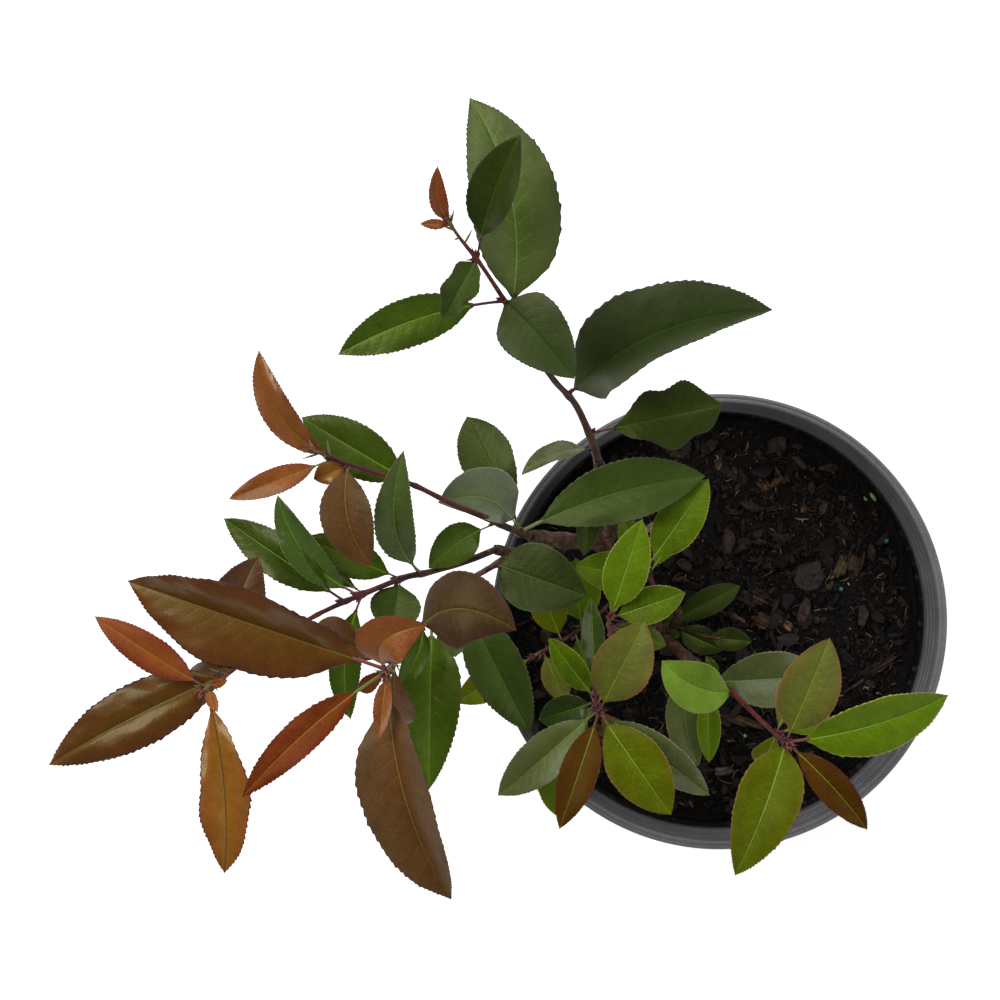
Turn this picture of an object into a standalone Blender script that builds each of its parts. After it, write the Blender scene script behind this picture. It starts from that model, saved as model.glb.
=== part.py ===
"""A potted red robin photinia: a young evergreen shrub in a black nursery pot.

Run with: blender --background --python part.py
Metres, +Z up. The origin is the centre of the pot's underside. The shrub leans
out over the pot's rim towards -X, and +Y is the side that its long shoot points to.
"""
import math
from dataclasses import dataclass, replace

import bpy
from mathutils import Matrix, Vector

MM = 0.001
CLEAR = 0.35 * MM

# Driving sizes of the pot
POT_HEIGHT = 190 * MM
POT_RIM_RADIUS = 100 * MM
POT_BASE_RADIUS = 70 * MM
POT_BAND_HEIGHT = 23 * MM
POT_STEP = 4.8 * MM
POT_WALL = 1.9 * MM
POT_FLOOR = 2.6 * MM
POT_SIDES = 40
BAND_WALL = 3.6 * MM
BAND_SLOPE = 0.8 * MM
BEAD_HEIGHT = 3.5 * MM
FOOT_CORNER = 3 * MM
DRAIN_HOLES = 6
DRAIN_SIDES = 8
DRAIN_RADIUS = 6 * MM
DRAIN_RING = 46 * MM

# Driving sizes of the soil
SOIL_TOP = 165 * MM
SOIL_FLAT_RADIUS = 58 * MM
SOIL_EDGE_DROP = 4 * MM
SOIL_LEAN_DROP = 5 * MM
SOIL_BUMP = 1.2 * MM
SOIL_LEAN_BEARING = 20
SOIL_GAP = 0.5 * MM

# Driving sizes of the wood and the leaves
TRUNK_SIDES = 10
BOUGH_SIDES = 8
TWIG_SIDES = 5
FLARE = 1.5
FLARE_SHARE = 1 / 3
TRIM_STEP = 0.1 * MM
TRIM_REACH = 2 * MM
STALK_RADIUS = 0.85 * MM
LEAF_THICKNESS_SHARE = 1 / 80
LEAF_LEAST_THICKNESS = 0.9 * MM
LEAF_STATIONS = (0.0, 0.13, 0.36, 0.62, 0.86)
FULLNESS_POWER = 0.72
UNDER_DROP = 36.0
UNDER_SLIP = 9 * MM
UNDER_WIDTH_SHARE = 0.48
UNDER_BELLY = 0.62
ROOT_INSET = 1.0 * MM
ROOT_STEP = 0.55 * MM
ROOT_STEPS = 5


@dataclass
class Leaf:
    """One leaf: lengths in millimetres, angles in degrees."""
    at: float
    bearing: float
    length: float
    width: float
    rise: float = 0.0
    arch: float = 0.07
    sweep: float = 0.0
    fold: float = 12.0
    roll: float = 0.0
    stalk: float = 0.12
    belly: float = 0.46
    under: float = 0.0
    under_turn: float = 0.0


@dataclass
class Limb:
    """One tapering limb: a route of points and its radius at both ends, in millimetres."""
    name: str
    route: tuple
    thick: float
    thin: float
    parent: str = ""
    from_tip: bool = False


@dataclass
class Shoot:
    """One leafy shoot: its bare stem, the limb that carries it, its leaves and colour."""
    name: str
    stem: Limb
    leaves: tuple
    colour: tuple


TRUNK = Limb("trunk", ((-27, -6, 165.4), (-28, -5, 178), (-30, -2, 194)), 5.2, 4.6)

BOUGHS = (
    Limb("left_bough", ((-30, -2, 194), (-38, 14, 204), (-52, 34, 216), (-68, 36, 238),
                        (-83, 38, 258)), 4.4, 2.9, "trunk", True),
    Limb("top_bough", ((-51, 32, 215), (-49, 44, 226), (-51, 57, 240), (-55, 68, 255)),
         3.0, 2.7, "left_bough"),
    Limb("fork_bough", ((-74, 37, 246), (-82, 30, 256), (-98, 33, 270)), 2.5, 2.2, "left_bough"),
    Limb("front_bough", ((-28, -5, 175), (-40, -16, 200), (-52, -21, 235), (-57, -25, 270)),
         2.9, 1.9, "trunk"),
    Limb("middle_bough", ((-29, -4, 181), (-38, -1, 192), (-44, -1, 212), (-47, -4, 240),
                          (-50, -2, 268)),
         2.5, 1.7, "trunk"),
    Limb("right_bough", ((-28, -5, 178), (-20, -11, 190), (-11, -18, 205), (-3, -24, 221)),
         2.7, 2.0, "trunk"),
    Limb("back_bough", ((-28, -5, 178), (-19, 0, 190), (-21, 9, 208), (-30, 15, 228)),
         2.2, 1.6, "trunk"),
)

DEEP_GREEN = (0.040, 0.075, 0.022)
FRESH_GREEN = (0.12, 0.23, 0.022)
COPPER = (0.20, 0.075, 0.028)
BRONZE = (0.11, 0.045, 0.018)

SHOOTS = (
    Shoot("long_shoot",
          Limb("long_shoot", ((-55, 68, 255), (-59, 79, 272), (-66, 92, 297), (-75, 101, 315),
                              (-83, 112, 332), (-94, 129, 353), (-104, 143, 370),
                              (-111, 151, 380), (-116, 158, 388)), 2.4, 0.9, "top_bough", True),
          (Leaf(0.01, -98, 41, 12, -10),
           Leaf(0.06, 198, 33, 11, 14, roll=40, sweep=-0.13),
           Leaf(0.14, 12, 56, 27, 0, fold=6, stalk=0.18, belly=0.56),
           Leaf(0.335, 22.5, 88, 42, 8, fold=36, roll=-26, sweep=0.10, stalk=0.04, belly=0.38),
           Leaf(0.715, -48, 40, 28, -3, roll=8, sweep=0.02, stalk=0.01, belly=0.31),
           Leaf(0.68, 101, 83, 38, 3, fold=14, roll=15, stalk=0.06, sweep=-0.10, belly=0.42),
           Leaf(0.715, 198, 67, 20, 3, roll=-12, stalk=0.18, sweep=-0.05),
           Leaf(0.86, -120, 26, 15, -8, fold=30, arch=0.16, stalk=0.04, belly=0.38),
           Leaf(0.86, 70, 53, 21, 27, fold=24, roll=-14, stalk=0.2, sweep=0.04),
           Leaf(0.98, 103, 25, 8, 34, fold=30, sweep=0.10),
           Leaf(0.98, 180, 12, 4, 18)),
          DEEP_GREEN),
    Shoot("copper_shoot",
          Limb("copper_shoot", ((-83, 38, 258), (-93, 42, 268), (-104, 47, 283), (-116, 52, 295),
                                (-130, 59, 305), (-142, 63, 313), (-155, 67, 322),
                                (-165, 71, 330), (-170, 73, 335)), 2.2, 0.9, "left_bough", True),
          (Leaf(0.05, 115, 54, 24, -7, belly=0.60),
           Leaf(0.06, 160, 38, 28, 20, arch=0.08, sweep=-0.22, fold=28, roll=26, stalk=0.14,
                belly=0.42),
           Leaf(0.06, 17, 80, 27, 5, sweep=0.05, belly=0.52),
           Leaf(0.18, 213, 36, 17, 22, stalk=0.24, sweep=-0.06),
           Leaf(0.57, 149, 54, 22, -3),
           Leaf(0.84, -77, 41, 22, 0, roll=8, arch=0.10, sweep=-0.12, stalk=0.05),
           Leaf(0.84, 202, 15, 10, -5),
           Leaf(0.92, 123, 50, 15, 10, fold=32, sweep=0.14, stalk=0.04, belly=0.5),
           Leaf(0.90, 201, 44, 11, 3, fold=16, stalk=0.18)),
          COPPER),
    Shoot("bronze_shoot",
          Limb("bronze_shoot", ((-98, 33, 270), (-111, 28, 275), (-125, 24, 282), (-135, 22, 288),
                                (-148, 17, 296), (-160, 12, 304), (-174, 5, 312),
                                (-189, -5, 321), (-202, -14, 330), (-212, -21, 337)),
               2.0, 0.9, "fork_bough", True),
          (Leaf(0.24, 97, 64, 18, 39, arch=0.09, sweep=0.12, fold=24),
           Leaf(0.31, 157, 43, 17, -6),
           Leaf(0.31, -100, 22, 22, 4),
           Leaf(0.50, 146, 60, 18, -8, under=0.5),
           Leaf(0.45, 129, 52, 16, 4, sweep=0.12, fold=28),
           Leaf(0.44, -96, 53, 14, -14, sweep=-0.08),
           Leaf(0.60, 205, 34, 13, -40),
           Leaf(0.72, 190, 30, 13, -44),
           Leaf(0.94, 72, 51, 25, 5, sweep=0.05, roll=10),
           Leaf(0.91, 207, 79, 27, -2, sweep=-0.02, fold=16, stalk=0.03, under=0.45,
                under_turn=-6),
           Leaf(0.99, 146, 52, 15, 12, fold=18),
           Leaf(0.99, -85, 73, 21, -4, sweep=0.05, fold=14, stalk=0.10, belly=0.55),
           Leaf(1.00, 300, 13, 5, 40),
           Leaf(0.97, 20, 12, 4, 50)),
          BRONZE),
    Shoot("tall_shoot",
          Limb("tall_shoot", ((-92, 31, 264), (-100, 26, 281), (-109, 21, 302), (-116, 15, 325),
                              (-124, 8, 355), (-130, 0, 380), (-135, -6, 402),
                              (-138, -10, 415)), 1.9, 1.0, "fork_bough"),
          (Leaf(0.09, -19, 40, 30, 6, roll=-4, stalk=0.03, belly=0.40),
           Leaf(0.35, -63, 64, 23, -6, under=0.5),
           Leaf(0.57, -91, 68, 25, -4, arch=0.05, belly=0.34, under=0.4, under_turn=20),
           Leaf(0.67, -1, 39, 31, 22, arch=0.20, sweep=0.20, fold=4, roll=-10, stalk=0.03,
                belly=0.40),
           Leaf(0.64, -112, 27, 11, 12, fold=30, sweep=0.08),
           Leaf(0.97, -75, 88, 36, -6, fold=22, roll=34, sweep=-0.07, under=0.38,
                under_turn=-16),
           Leaf(0.97, 221, 70, 14, 4, fold=14, stalk=0.2, sweep=-0.04, under=0.3),
           Leaf(0.97, 161, 100, 42, 2, fold=30, roll=-28, arch=0.05, belly=0.50, under=0.4),
           Leaf(1.00, 50, 29, 21, 36, arch=0.20, sweep=0.28, fold=16),
           Leaf(1.00, -96, 25, 8, 18, fold=30)),
          BRONZE),
    Shoot("front_shoot",
          Limb("front_shoot", ((-57, -25, 270), (-58, -27, 290), (-57, -31, 312)),
               1.8, 1.0, "front_bough", True),
          (Leaf(0.15, 93, 42, 11, 20, fold=26, stalk=0.28),
           Leaf(0.45, 127, 32, 12, 14),
           Leaf(0.60, 198, 24, 16, -5, fold=26),
           Leaf(0.72, -103, 53, 24, -18, sweep=-0.12),
           Leaf(0.88, -38, 59, 17, -12),
           Leaf(0.90, 221, 53, 21, -4, fold=24, under=0.5),
           Leaf(0.98, -55, 50, 25, 1, under=0.5),
           Leaf(0.98, -109, 49, 16, 9, fold=10),
           Leaf(0.98, 64, 42, 25, 14, under=0.5)),
          FRESH_GREEN),
    Shoot("middle_shoot",
          Limb("middle_shoot", ((-50, -2, 268), (-52, 2, 283), (-52, 6, 297)),
               1.6, 1.0, "middle_bough", True),
          (Leaf(0.97, 73, 45, 19, 22, under=0.55),
           Leaf(0.97, 19, 32, 16, 4),
           Leaf(0.60, -20, 26, 12, -14)),
          FRESH_GREEN),
    Shoot("back_shoot",
          Limb("back_shoot", ((-30, 15, 228), (-33, 21, 242), (-35, 26, 255)),
               1.5, 1.0, "back_bough", True),
          (Leaf(0.97, 56, 46, 20, 17, under=0.55),
           Leaf(0.45, 170, 32, 18, -4),
           Leaf(0.60, 115, 28, 13, -16)),
          FRESH_GREEN),
    Shoot("right_shoot",
          Limb("right_shoot", ((-3, -24, 221), (3, -29, 235), (8, -34, 248), (14, -40, 264),
                               (21, -46, 282)), 1.9, 1.1, "right_bough", True),
          (Leaf(0.97, 69, 48, 26, 16, under=0.5),
           Leaf(0.97, 16, 69, 27, 0, roll=24, sweep=-0.04, under=0.45),
           Leaf(0.97, -111, 58, 28, 2, sweep=0.02, stalk=0.03, belly=0.38, under=0.3),
           Leaf(0.97, -47, 50, 15, -6, sweep=0.03),
           Leaf(0.20, 155, 34, 23, 12, sweep=0.12, stalk=0.02),
           Leaf(0.06, 120, 14, 5, 4, stalk=0.3)),
          FRESH_GREEN),
    Shoot("low_right_shoot",
          Limb("low_right_shoot", ((-16, -14, 196), (-12, -20, 202), (-6, -26, 208)),
               1.5, 1.0, "right_bough"),
          (Leaf(0.30, -85, 45, 18, -2, sweep=-0.10),
           Leaf(0.95, -88, 36, 11, -10),
           Leaf(0.95, 3, 50, 28, -5, fold=24, stalk=0.08, belly=0.50)),
          FRESH_GREEN),
    Shoot("floor_shoot",
          Limb("floor_shoot", ((-28, -5, 172), (-19, -3, 183), (-8, -6, 192), (0, -7, 198)),
               1.5, 0.9, "trunk"),
          (Leaf(0.10, 29, 41, 13, 6, sweep=0.02, belly=0.60),
           Leaf(0.04, 14, 15, 11, 14),
           Leaf(0.34, -24, 24, 13, 4),
           Leaf(0.80, -6, 20, 11, 0)),
          DEEP_GREEN),
    Shoot("low_left_shoot",
          Limb("low_left_shoot", ((-42, 19, 207), (-52, 6, 218), (-68, -5, 234), (-82, -12, 245)),
               1.6, 0.9, "left_bough"),
          (Leaf(0.55, 95, 30, 20, 6),
           Leaf(0.75, 112, 30, 16, 6),
           Leaf(0.62, -70, 26, 12, -10),
           Leaf(0.92, -66, 24, 12, -6),
           Leaf(0.98, 211, 40, 16, -6)),
          DEEP_GREEN),
)


def clear_scene():
    """Take every object that the file opened with out of it."""
    for thing in list(bpy.data.objects):
        bpy.data.objects.remove(thing, do_unlink=True)


def finish_material(name, colour, roughness, metallic=0.0):
    """A plain Principled material for one sub-part."""
    material = bpy.data.materials.new(name)
    material.use_nodes = True
    shader = material.node_tree.nodes["Principled BSDF"]
    shader.inputs["Base Color"].default_value = (*colour, 1.0)
    shader.inputs["Roughness"].default_value = roughness
    shader.inputs["Metallic"].default_value = metallic
    return material


def add_object(name, points, faces, material=None):
    """A mesh object from its points and faces."""
    mesh = bpy.data.meshes.new(name)
    mesh.from_pydata(points, [], faces)
    mesh.validate()
    if material:
        mesh.materials.append(material)
    thing = bpy.data.objects.new(name, mesh)
    bpy.context.scene.collection.objects.link(thing)
    return thing


def turned(name, profile, sides, material):
    """A closed solid turned about Z from a profile that starts and ends on the axis."""
    points = [Vector((0, 0, profile[0][1]))]
    rings = []
    for radius, height in profile[1:-1]:
        ring = []
        for step in range(sides):
            angle = math.tau * step / sides
            ring.append(len(points))
            points.append(Vector((radius * math.cos(angle), radius * math.sin(angle), height)))
        rings.append(ring)
    end = len(points)
    points.append(Vector((0, 0, profile[-1][1])))
    faces = []
    for step in range(sides):
        after = (step + 1) % sides
        faces.append((0, rings[0][after], rings[0][step]))
        for low, high in zip(rings, rings[1:]):
            faces.append((low[step], low[after], high[after], high[step]))
        faces.append((rings[-1][step], rings[-1][after], end))
    return add_object(name, points, faces, material)


def join_by_boolean(thing, others, operation):
    """Unite a closed mesh with others, or cut them from it, and drop the others."""
    group = bpy.data.collections.new(thing.name + "_tools")
    bpy.context.scene.collection.children.link(group)
    for other in others:
        bpy.context.scene.collection.objects.unlink(other)
        group.objects.link(other)
        other.hide_render = True
        other.display_type = "WIRE"
    modifier = thing.modifiers.new("join", "BOOLEAN")
    modifier.operand_type = "COLLECTION"
    modifier.collection = group
    modifier.operation = operation
    modifier.solver = "EXACT"
    bpy.context.view_layer.update()
    evaluated = thing.evaluated_get(bpy.context.evaluated_depsgraph_get())
    joined = bpy.data.meshes.new_from_object(evaluated)
    thing.modifiers.clear()
    thing.data = joined
    for other in others:
        bpy.data.objects.remove(other, do_unlink=True)
    bpy.data.collections.remove(group)


def wall_radius(height):
    """The inner radius of the pot's sloping wall at a height."""
    top = POT_HEIGHT - POT_BAND_HEIGHT
    outer = POT_RIM_RADIUS - POT_STEP - POT_WALL * 0.5
    share = height / top
    return POT_BASE_RADIUS + (outer - POT_BASE_RADIUS) * share - POT_WALL


def build_pot():
    """The pot: one moulded wall with a stepped band at its rim and drain holes."""
    band_foot = POT_HEIGHT - POT_BAND_HEIGHT
    wall_top = wall_radius(band_foot) + POT_WALL
    inner_band = POT_RIM_RADIUS - BAND_WALL
    inner_foot = POT_FLOOR + FOOT_CORNER
    profile = [
        (0, 0),
        (POT_BASE_RADIUS - FOOT_CORNER, 0),
        (POT_BASE_RADIUS, FOOT_CORNER),
        (wall_top, band_foot),
        (POT_RIM_RADIUS - 2 * BAND_SLOPE, band_foot + POT_WALL),
        (POT_RIM_RADIUS - BAND_SLOPE, POT_HEIGHT - BEAD_HEIGHT - POT_WALL),
        (POT_RIM_RADIUS, POT_HEIGHT - BEAD_HEIGHT),
        (POT_RIM_RADIUS - BAND_SLOPE / 2, POT_HEIGHT - BAND_SLOPE),
        (POT_RIM_RADIUS - BAND_WALL / 2, POT_HEIGHT),
        (inner_band, POT_HEIGHT - BAND_SLOPE),
        (inner_band - BAND_SLOPE, band_foot + 2 * POT_WALL),
        (wall_radius(band_foot), band_foot + POT_WALL),
        (wall_radius(inner_foot), inner_foot),
        (POT_BASE_RADIUS - 2 * FOOT_CORNER, POT_FLOOR),
        (0, POT_FLOOR),
    ]
    material = finish_material("pot_plastic", (0.022, 0.023, 0.026), 0.42)
    pot = turned("pot", profile, POT_SIDES, material)
    cutters = []
    low = -2 * POT_FLOOR
    high = 3 * POT_FLOOR
    drain = [(0, low), (DRAIN_RADIUS, low), (DRAIN_RADIUS, high), (0, high)]
    for hole in range(DRAIN_HOLES):
        angle = math.tau * (hole + 0.5) / DRAIN_HOLES
        place = Vector((math.cos(angle) * DRAIN_RING, math.sin(angle) * DRAIN_RING, 0))
        cutter = turned("drain_cutter", drain, DRAIN_SIDES, material)
        cutter.data.transform(Matrix.Translation(place))
        cutters.append(cutter)
    join_by_boolean(pot, cutters, "DIFFERENCE")
    return pot


def build_soil():
    """The potting soil: fills the pot, flat in the middle and lower at the wall."""
    floor = POT_FLOOR + CLEAR
    corner = POT_FLOOR + FOOT_CORNER + CLEAR
    low_rings = [
        (POT_BASE_RADIUS - 2 * FOOT_CORNER - POT_WALL, floor),
        (wall_radius(corner) - SOIL_GAP, corner),
    ]
    points = [Vector((0, 0, floor))]
    rings = []
    for radius, height in low_rings:
        rings.append(ring_points(points, lambda angle, r=radius, h=height: (r, h)))
    rings.append(ring_points(points, soil_edge))
    middle = (SOIL_FLAT_RADIUS + wall_radius(SOIL_TOP)) / 2
    rings.append(ring_points(points, lambda angle: (middle, soil_height(angle, 0.5))))
    rings.append(ring_points(points, lambda angle: (SOIL_FLAT_RADIUS, SOIL_TOP)))
    end = len(points)
    points.append(Vector((0, 0, SOIL_TOP)))
    faces = []
    for step in range(POT_SIDES):
        after = (step + 1) % POT_SIDES
        faces.append((0, rings[0][after], rings[0][step]))
        for low, high in zip(rings, rings[1:]):
            faces.append((low[step], low[after], high[after], high[step]))
        faces.append((rings[-1][step], rings[-1][after], end))
    material = finish_material("soil_mix", (0.012, 0.009, 0.007), 0.95)
    return add_object("soil", points, faces, material)


def ring_points(points, place):
    """Add one ring of points about Z, each at the radius and height that place gives."""
    ring = []
    for step in range(POT_SIDES):
        angle = math.tau * step / POT_SIDES
        radius, height = place(angle)
        ring.append(len(points))
        points.append(Vector((radius * math.cos(angle), radius * math.sin(angle), height)))
    return ring


def soil_height(angle, outward):
    """The soil's height at an angle; outward is 0 at the flat middle and 1 at the wall."""
    lean = (1 - math.cos(angle - math.radians(SOIL_LEAN_BEARING))) / 2
    bumps = SOIL_BUMP * (math.sin(5 * angle) + math.sin(9 * angle + 1)) / 2
    return SOIL_TOP - outward * (SOIL_EDGE_DROP + SOIL_LEAN_DROP * lean - bumps)


def soil_edge(angle):
    """The soil's radius and height where it meets the wall."""
    height = soil_height(angle, 1.0)
    return wall_radius(height) - SOIL_GAP, height


def smooth(route, pieces):
    """Points on a smooth curve through a route's points, which are in millimetres."""
    knots = [Vector(point) * MM for point in route]
    knots = [2 * knots[0] - knots[1]] + knots + [2 * knots[-1] - knots[-2]]
    line = []
    for a, b, c, d in zip(knots, knots[1:], knots[2:], knots[3:]):
        for step in range(pieces):
            t = step / pieces
            line.append(0.5 * (2 * b + (c - a) * t + (2 * a - 5 * b + 4 * c - d) * t ** 2
                               + (3 * b - a - 3 * c + d) * t ** 3))
    line.append(knots[-2])
    return line


def lengths_along(line):
    """The distance of each point of a line from its start."""
    travelled = [0.0]
    for a, b in zip(line, line[1:]):
        travelled.append(travelled[-1] + (b - a).length)
    return travelled


def point_along(line, share):
    """The point at a share of a line's length."""
    travelled = lengths_along(line)
    goal = max(0.0, min(1.0, share)) * travelled[-1]
    for index in range(len(line) - 1):
        if goal <= travelled[index + 1]:
            run = travelled[index + 1] - travelled[index]
            return line[index].lerp(line[index + 1], (goal - travelled[index]) / run)
    return line[-1].copy()


def limb_radius(limb, share):
    """A limb's radius at a share of its length."""
    return (limb.thick + (limb.thin - limb.thick) * share) * MM


def clearance(point, limb, line):
    """How far a point lies outside a limb's round surface and its flat end."""
    past_end = point - line[-1]
    beyond = past_end.dot(end_direction(line))
    if beyond > 0:
        outward = math.sqrt(max(0.0, past_end.length_squared - beyond ** 2))
        return math.hypot(max(0.0, outward - limb_radius(limb, 1.0)), beyond)
    travelled = lengths_along(line)
    least = 1.0
    for index in range(len(line) - 1):
        run = line[index + 1] - line[index]
        share = max(0.0, min(1.0, (point - line[index]).dot(run) / run.length_squared))
        foot = line[index] + run * share
        along = (travelled[index] + run.length * share) / travelled[-1]
        least = min(least, (point - foot).length - limb_radius(limb, along))
    return least


def end_direction(line):
    """The direction in which a line ends."""
    return (line[-1] - line[-2]).normalized()


def seated(limb, line, sides, parent, parent_line):
    """A limb's line from where it stands clear of its parent, and its foot's direction."""
    if limb.from_tip:
        ahead = end_direction(parent_line)
        return on_tip(limb, line, parent_line[-1], ahead), ahead
    return on_side(limb, line, sides, parent, parent_line), None


def on_tip(limb, line, tip, ahead):
    """A line that starts just past its parent's flat end, with its next rings clear of it."""
    kept = [tip + ahead * CLEAR]
    for before, here, after in zip(line, line[1:], line[2:] + line[-1:]):
        direction = (after - before).normalized()
        dip = limb_radius(limb, 0.0) * ahead.cross(direction).length
        if (here - tip).dot(ahead) > dip + TRIM_REACH / 2:
            kept.append(here)
    return kept


def on_side(limb, line, sides, parent, parent_line):
    """A line shortened at its start until the limb there stands clear of its parent."""
    travelled = lengths_along(line)
    radius = limb_radius(limb, 0.0)
    cut = TRIM_STEP
    while cut < travelled[-1]:
        start = point_along(line, cut / travelled[-1])
        ahead = point_along(line, (cut + TRIM_REACH) / travelled[-1])
        frame = cross_frame((ahead - start).normalized())
        ring = [start + around(frame, radius, side, sides) for side in range(sides)]
        if min(clearance(point, parent, parent_line) for point in ring) > CLEAR:
            rest = [point for point, run in zip(line, travelled) if run > cut + TRIM_REACH / 2]
            return [start] + rest
        cut += TRIM_STEP
    return line


def cross_frame(direction):
    """Two directions square to a limb's own."""
    side = direction.cross(Vector((0, 0, 1)))
    if side.length < 0.05:
        side = direction.cross(Vector((0, 1, 0)))
    side.normalize()
    return side, side.cross(direction).normalized()


def around(frame, radius, step, sides):
    """A point's place on a limb's ring, seen from the ring's middle."""
    angle = math.tau * step / sides
    return frame[0] * radius * math.cos(angle) + frame[1] * radius * math.sin(angle)


def tube(name, line, radii, sides, material, foot=None):
    """A closed tapering tube along a line, with its flat foot square to a direction."""
    points = []
    faces = []
    for index, middle in enumerate(line):
        before = line[max(0, index - 1)]
        after = line[min(len(line) - 1, index + 1)]
        direction = (after - before).normalized()
        if foot and index == 0:
            direction = foot
        frame = cross_frame(direction)
        for step in range(sides):
            points.append(middle + around(frame, radii[index], step, sides))
    for index in range(len(line) - 1):
        for step in range(sides):
            after = (step + 1) % sides
            low = index * sides
            high = low + sides
            faces.append((low + step, high + step, high + after, low + after))
    last = (len(line) - 1) * sides
    faces.append(tuple(range(sides)))
    faces.append(tuple(reversed(range(last, last + sides))))
    thing = add_object(name, points, faces, material)
    if signed_volume(thing.data) < 0:
        thing.data.flip_normals()
    return thing


def signed_volume(mesh):
    """Six times a closed mesh's volume, below nought where its faces point inwards."""
    total = 0.0
    for face in mesh.polygons:
        corners = [mesh.vertices[index].co for index in face.vertices]
        for b, c in zip(corners[1:], corners[2:]):
            total += corners[0].dot(b.cross(c))
    return total


def blade_share(u, belly):
    """The blade's half width at u, from its foot at 0 to its tip at 1, as a share."""
    power = math.log(0.5) / math.log(belly)
    return max(0.0, math.sin(math.pi * u ** power)) ** FULLNESS_POWER


def leaf_frame(leaf, root, t):
    """The midrib's point, its direction and the blade's side and top at t of its length."""
    bearing = math.radians(leaf.bearing)
    rise = math.radians(leaf.rise)
    length = leaf.length * MM
    ahead = Vector((math.cos(bearing) * math.cos(rise), math.sin(bearing) * math.cos(rise),
                    math.sin(rise)))
    side = Vector((-math.sin(bearing), math.cos(bearing), 0))
    top = ahead.cross(side)
    hump = 4 * length * t * (1 - t)
    point = root + ahead * length * t + top * leaf.arch * hump + side * leaf.sweep * hump
    slope = 4 * (1 - 2 * t)
    direction = (ahead + top * leaf.arch * slope + side * leaf.sweep * slope).normalized()
    side = top.cross(direction).normalized()
    turn = Matrix.Rotation(math.radians(leaf.roll), 3, direction)
    side = turn @ side
    return point, direction, side, direction.cross(side)


def leaf_solid(name, leaf, root):
    """A leaf and its stalk as one closed solid of four-sided sections."""
    thick = max(LEAF_LEAST_THICKNESS, leaf.length * MM * LEAF_THICKNESS_SHARE)
    sections = [(0.0, STALK_RADIUS, STALK_RADIUS, 0.0)]
    for u in LEAF_STATIONS:
        t = leaf.stalk + (1 - leaf.stalk) * u
        half = max(STALK_RADIUS, leaf.width * MM / 2 * blade_share(u, leaf.belly))
        sections.append((t, half, thick / 2, math.radians(leaf.fold) if u else 0.0))
    points = []
    for t, half, deep, fold in sections:
        point, _, side, top = leaf_frame(leaf, root, t)
        lift = top * half * math.sin(fold)
        points.append(point + side * half * math.cos(fold) + lift)
        points.append(point + top * deep)
        points.append(point - side * half * math.cos(fold) + lift)
        points.append(point - top * deep)
    tip = len(points)
    points.append(leaf_frame(leaf, root, 1.0)[0])
    faces = [(0, 1, 2, 3)]
    for index in range(len(sections) - 1):
        low = index * 4
        high = low + 4
        for edge in (0, 2):
            mid, under = edge + 1, (edge + 3) % 4
            faces.append((low + edge, high + edge, high + mid))
            faces.append((low + edge, high + mid, low + mid))
            faces.append((low + edge, high + under, high + edge))
            faces.append((low + edge, low + under, high + under))
    last = tip - 4
    for step in range(4):
        faces.append((last + step, tip, last + (step + 1) % 4))
    thing = add_object(name, points, faces)
    if signed_volume(thing.data) < 0:
        thing.data.flip_normals()
    return thing


def with_under_leaves(leaves, length):
    """The shoot's leaves, with the older leaf that hangs below each one marked for it."""
    grown = []
    for leaf in leaves:
        grown.append(leaf)
        if leaf.under:
            grown.append(replace(leaf, at=leaf.at - UNDER_SLIP / length,
                                 bearing=leaf.bearing + leaf.under_turn,
                                 rise=leaf.rise - UNDER_DROP,
                                 length=leaf.length * leaf.under,
                                 width=leaf.width * UNDER_WIDTH_SHARE,
                                 sweep=0.0, roll=0.0, belly=UNDER_BELLY,
                                 under=0.0))
    return grown


def build_wood():
    """The trunk and its boughs, each one tapering limb that stands clear of its parent."""
    bark = finish_material("bark", (0.075, 0.045, 0.030), 0.8)
    lines = {"trunk": smooth(TRUNK.route, 3)}
    limbs = {"trunk": TRUNK}
    radii = []
    travelled = lengths_along(lines["trunk"])
    for distance in travelled:
        share = distance / travelled[-1]
        flare = 1 + (FLARE - 1) * max(0.0, 1 - share / FLARE_SHARE)
        radii.append(limb_radius(TRUNK, share) * flare)
    tube("trunk", lines["trunk"], radii, TRUNK_SIDES, bark, foot=Vector((0, 0, 1)))
    for limb in BOUGHS:
        whole = smooth(limb.route, 3)
        lines[limb.name] = whole
        limbs[limb.name] = limb
        line, foot = seated(limb, whole, BOUGH_SIDES, limbs[limb.parent], lines[limb.parent])
        tube(limb.name, line, taper(limb, line), BOUGH_SIDES, bark, foot)
    return limbs, lines


def taper(limb, line):
    """A limb's radius at each point of a line."""
    travelled = lengths_along(line)
    return [limb_radius(limb, distance / travelled[-1]) for distance in travelled]


def build_shoot(shoot, limbs, lines):
    """One leafy shoot: its stem with each leaf's stalk sunk to the stem's middle."""
    whole = smooth(shoot.stem.route, 2)
    parent = shoot.stem.parent
    line, foot = seated(shoot.stem, whole, TWIG_SIDES, limbs[parent], lines[parent])
    material = finish_material(shoot.name + "_leaf", shoot.colour, 0.45)
    stem = tube(shoot.name, line, taper(shoot.stem, line), TWIG_SIDES, material, foot)
    length = lengths_along(line)[-1]
    end_share = ROOT_INSET / length
    solids = []
    for index, leaf in enumerate(with_under_leaves(shoot.leaves, length)):
        slip = index % ROOT_STEPS * ROOT_STEP / length
        root = point_along(line, max(end_share, min(leaf.at, 1 - end_share) - slip))
        solids.append(leaf_solid("leaf", leaf, root))
    join_by_boolean(stem, solids, "UNION")
    stem.data.materials.clear()
    stem.data.materials.append(material)


def main():
    """Build the pot, the soil, the wood and the leafy shoots."""
    clear_scene()
    build_pot()
    build_soil()
    limbs, lines = build_wood()
    for shoot in SHOOTS:
        build_shoot(shoot, limbs, lines)


main()
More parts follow.
